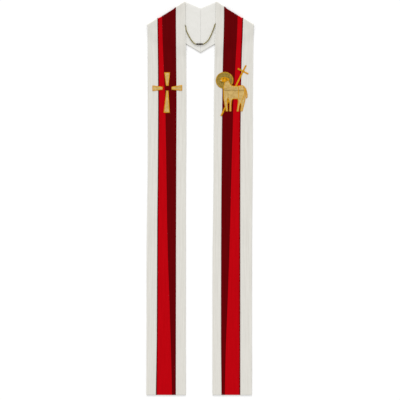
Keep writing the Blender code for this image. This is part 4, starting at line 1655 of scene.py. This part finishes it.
shadow = sewn(
    "shadow_lines", on_body(SHADOW_LINES), "brown_satin", 0.8, pitch=0.5, rise=0.18, seed=53
)
haunch = sewn("haunch_lines", on_body(HAUNCH_LINES), "gold_satin", 2.0, rise=0.3, seed=55)
declare_patch(body, BODY)

# %% [markdown]
# ## The lamb's head
# The head is filled with satin stitches that run from its lower edge to its upper one, so each
# stitch is as long as the head is high there. The ear and the muzzle are shorter fills over it.
# The eye, the nostril, the mouth and the fold of the ear are a few fine brown stitches, laid last
# so that they stand on top.

# %% Head
HEAD_COLUMNS = np.linspace(-44.6, -13.8, 40)


def head_span(across):
    """The head's lowest and highest points in one column."""
    outline = (HEAD - LAMB_CENTRE) / MM
    crossings = []
    for start, end in zip(outline, np.roll(outline, -1, axis=0)):
        if (start[0] - across) * (end[0] - across) < 0:
            share = (across - start[0]) / (end[0] - start[0])
            crossings.append(mix(start[1], end[1], share))
    return min(crossings), max(crossings)


head = backing("backing_head", HEAD, under_head, 0.4, "lamb_head")
spans = np.array([head_span(across) for across in HEAD_COLUMNS])
middles = np.column_stack([HEAD_COLUMNS, spans.mean(1)])
FACE_STITCH = 10.0
widths = (spans[:, 1] - spans[:, 0] + 0.3) / FACE_STITCH
EAR = ((-24.0, 47.0), (-20.6, 45.6), (-17.0, 42.4), (-14.4, 38.0))
MUZZLE = ((-45.0, 37.6), (-42.4, 37.6), (-39.6, 38.2))
FEATURES = (
    ((-34.4, 43.6), (-33.2, 43.9), (-32.0, 43.6)),
    ((-35.4, 45.2), (-33.2, 46.2), (-31.0, 45.6)),
    ((-44.0, 39.9), (-43.2, 39.6)),
    ((-43.8, 36.2), (-41.4, 35.7)),
    ((-25.6, 44.8), (-22.8, 42.6), (-20.4, 39.0)),
)


def on_head(lines, rise):
    return [on_level(on_lamb(line), under_head, rise * MM) for line in lines]


fills = [
    sewn(
        "head_stitches", on_head([middles], 0.35), "gold_satin", FACE_STITCH, rise=0.5,
        uneven=0.03, seed=61, reach=widths,
    ),
    sewn(
        "ear_stitches", on_head([EAR], 1.0), "gold_satin", 4.6, rise=0.35, lean=25, seed=63,
        reach=(0.35, 1.0, 0.95, 0.2),
    ),
    sewn(
        "muzzle_stitches", on_head([MUZZLE], 0.95), "pale_satin", 5.4, rise=0.2, seed=65,
        reach=(0.5, 1.0, 0.8),
    ),
    sewn(
        "face_stitches", on_head(FEATURES, 1.15), "brown_satin", 0.9, pitch=0.4, thread=0.4,
        rise=0.15, seed=67,
    ),
]
declare_patch(head, HEAD)

# %% [markdown]
# ## The table and the light
# The stole lies on a pale table that belongs to the stage and not to the piece. The room's light
# is soft and comes from everywhere, with one broad low lamp from the far side, so that seams,
# borders and creases cast short soft shadows. A single hard lamp would leave the weave either
# burnt out or black.

# %% Floor and lights
FLOOR_SIZE = 8.0
FLOOR_LEVEL = -0.3 * MM
ROOM_LIGHT = 0.82
LAMP_ANGLE = math.radians(24)
LAMP_ENERGY = 2.1
LAMP_HEADING = Vector((-0.12, 1.0, 0.40))

edge = FLOOR_SIZE / 2
corners = [(x * edge, y * edge, FLOOR_LEVEL) for x, y in ((-1, -1), (1, -1), (1, 1), (-1, 1))]
floor_mesh = bpy.data.meshes.new("floor")
floor_mesh.from_pydata(corners, [], [(0, 1, 2, 3)])
pale, _, _ = new_finish(
    "pale_floor", Base_Color=(0.97, 0.97, 0.97, 1.0), Roughness=0.9, Specular_IOR_Level=0.0
)
floor_mesh.materials.append(pale)
floor = bpy.data.objects.new("floor", floor_mesh)
scene.collection.objects.link(floor)

world = bpy.data.worlds.new("soft_room")
world.use_nodes = True
light = world.node_tree.nodes["Background"].inputs
light["Color"].default_value = (1.0, 1.0, 1.0, 1.0)
light["Strength"].default_value = ROOM_LIGHT
scene.world = world

lamp = bpy.data.lights.new("low_window", "SUN")
lamp.angle = LAMP_ANGLE
lamp.energy = LAMP_ENERGY
window = bpy.data.objects.new("low_window", lamp)
window.rotation_euler = LAMP_HEADING.to_track_quat("Z", "Y").to_euler()
scene.collection.objects.link(window)
print("room light:", ROOM_LIGHT, "and lamp:", LAMP_ENERGY)
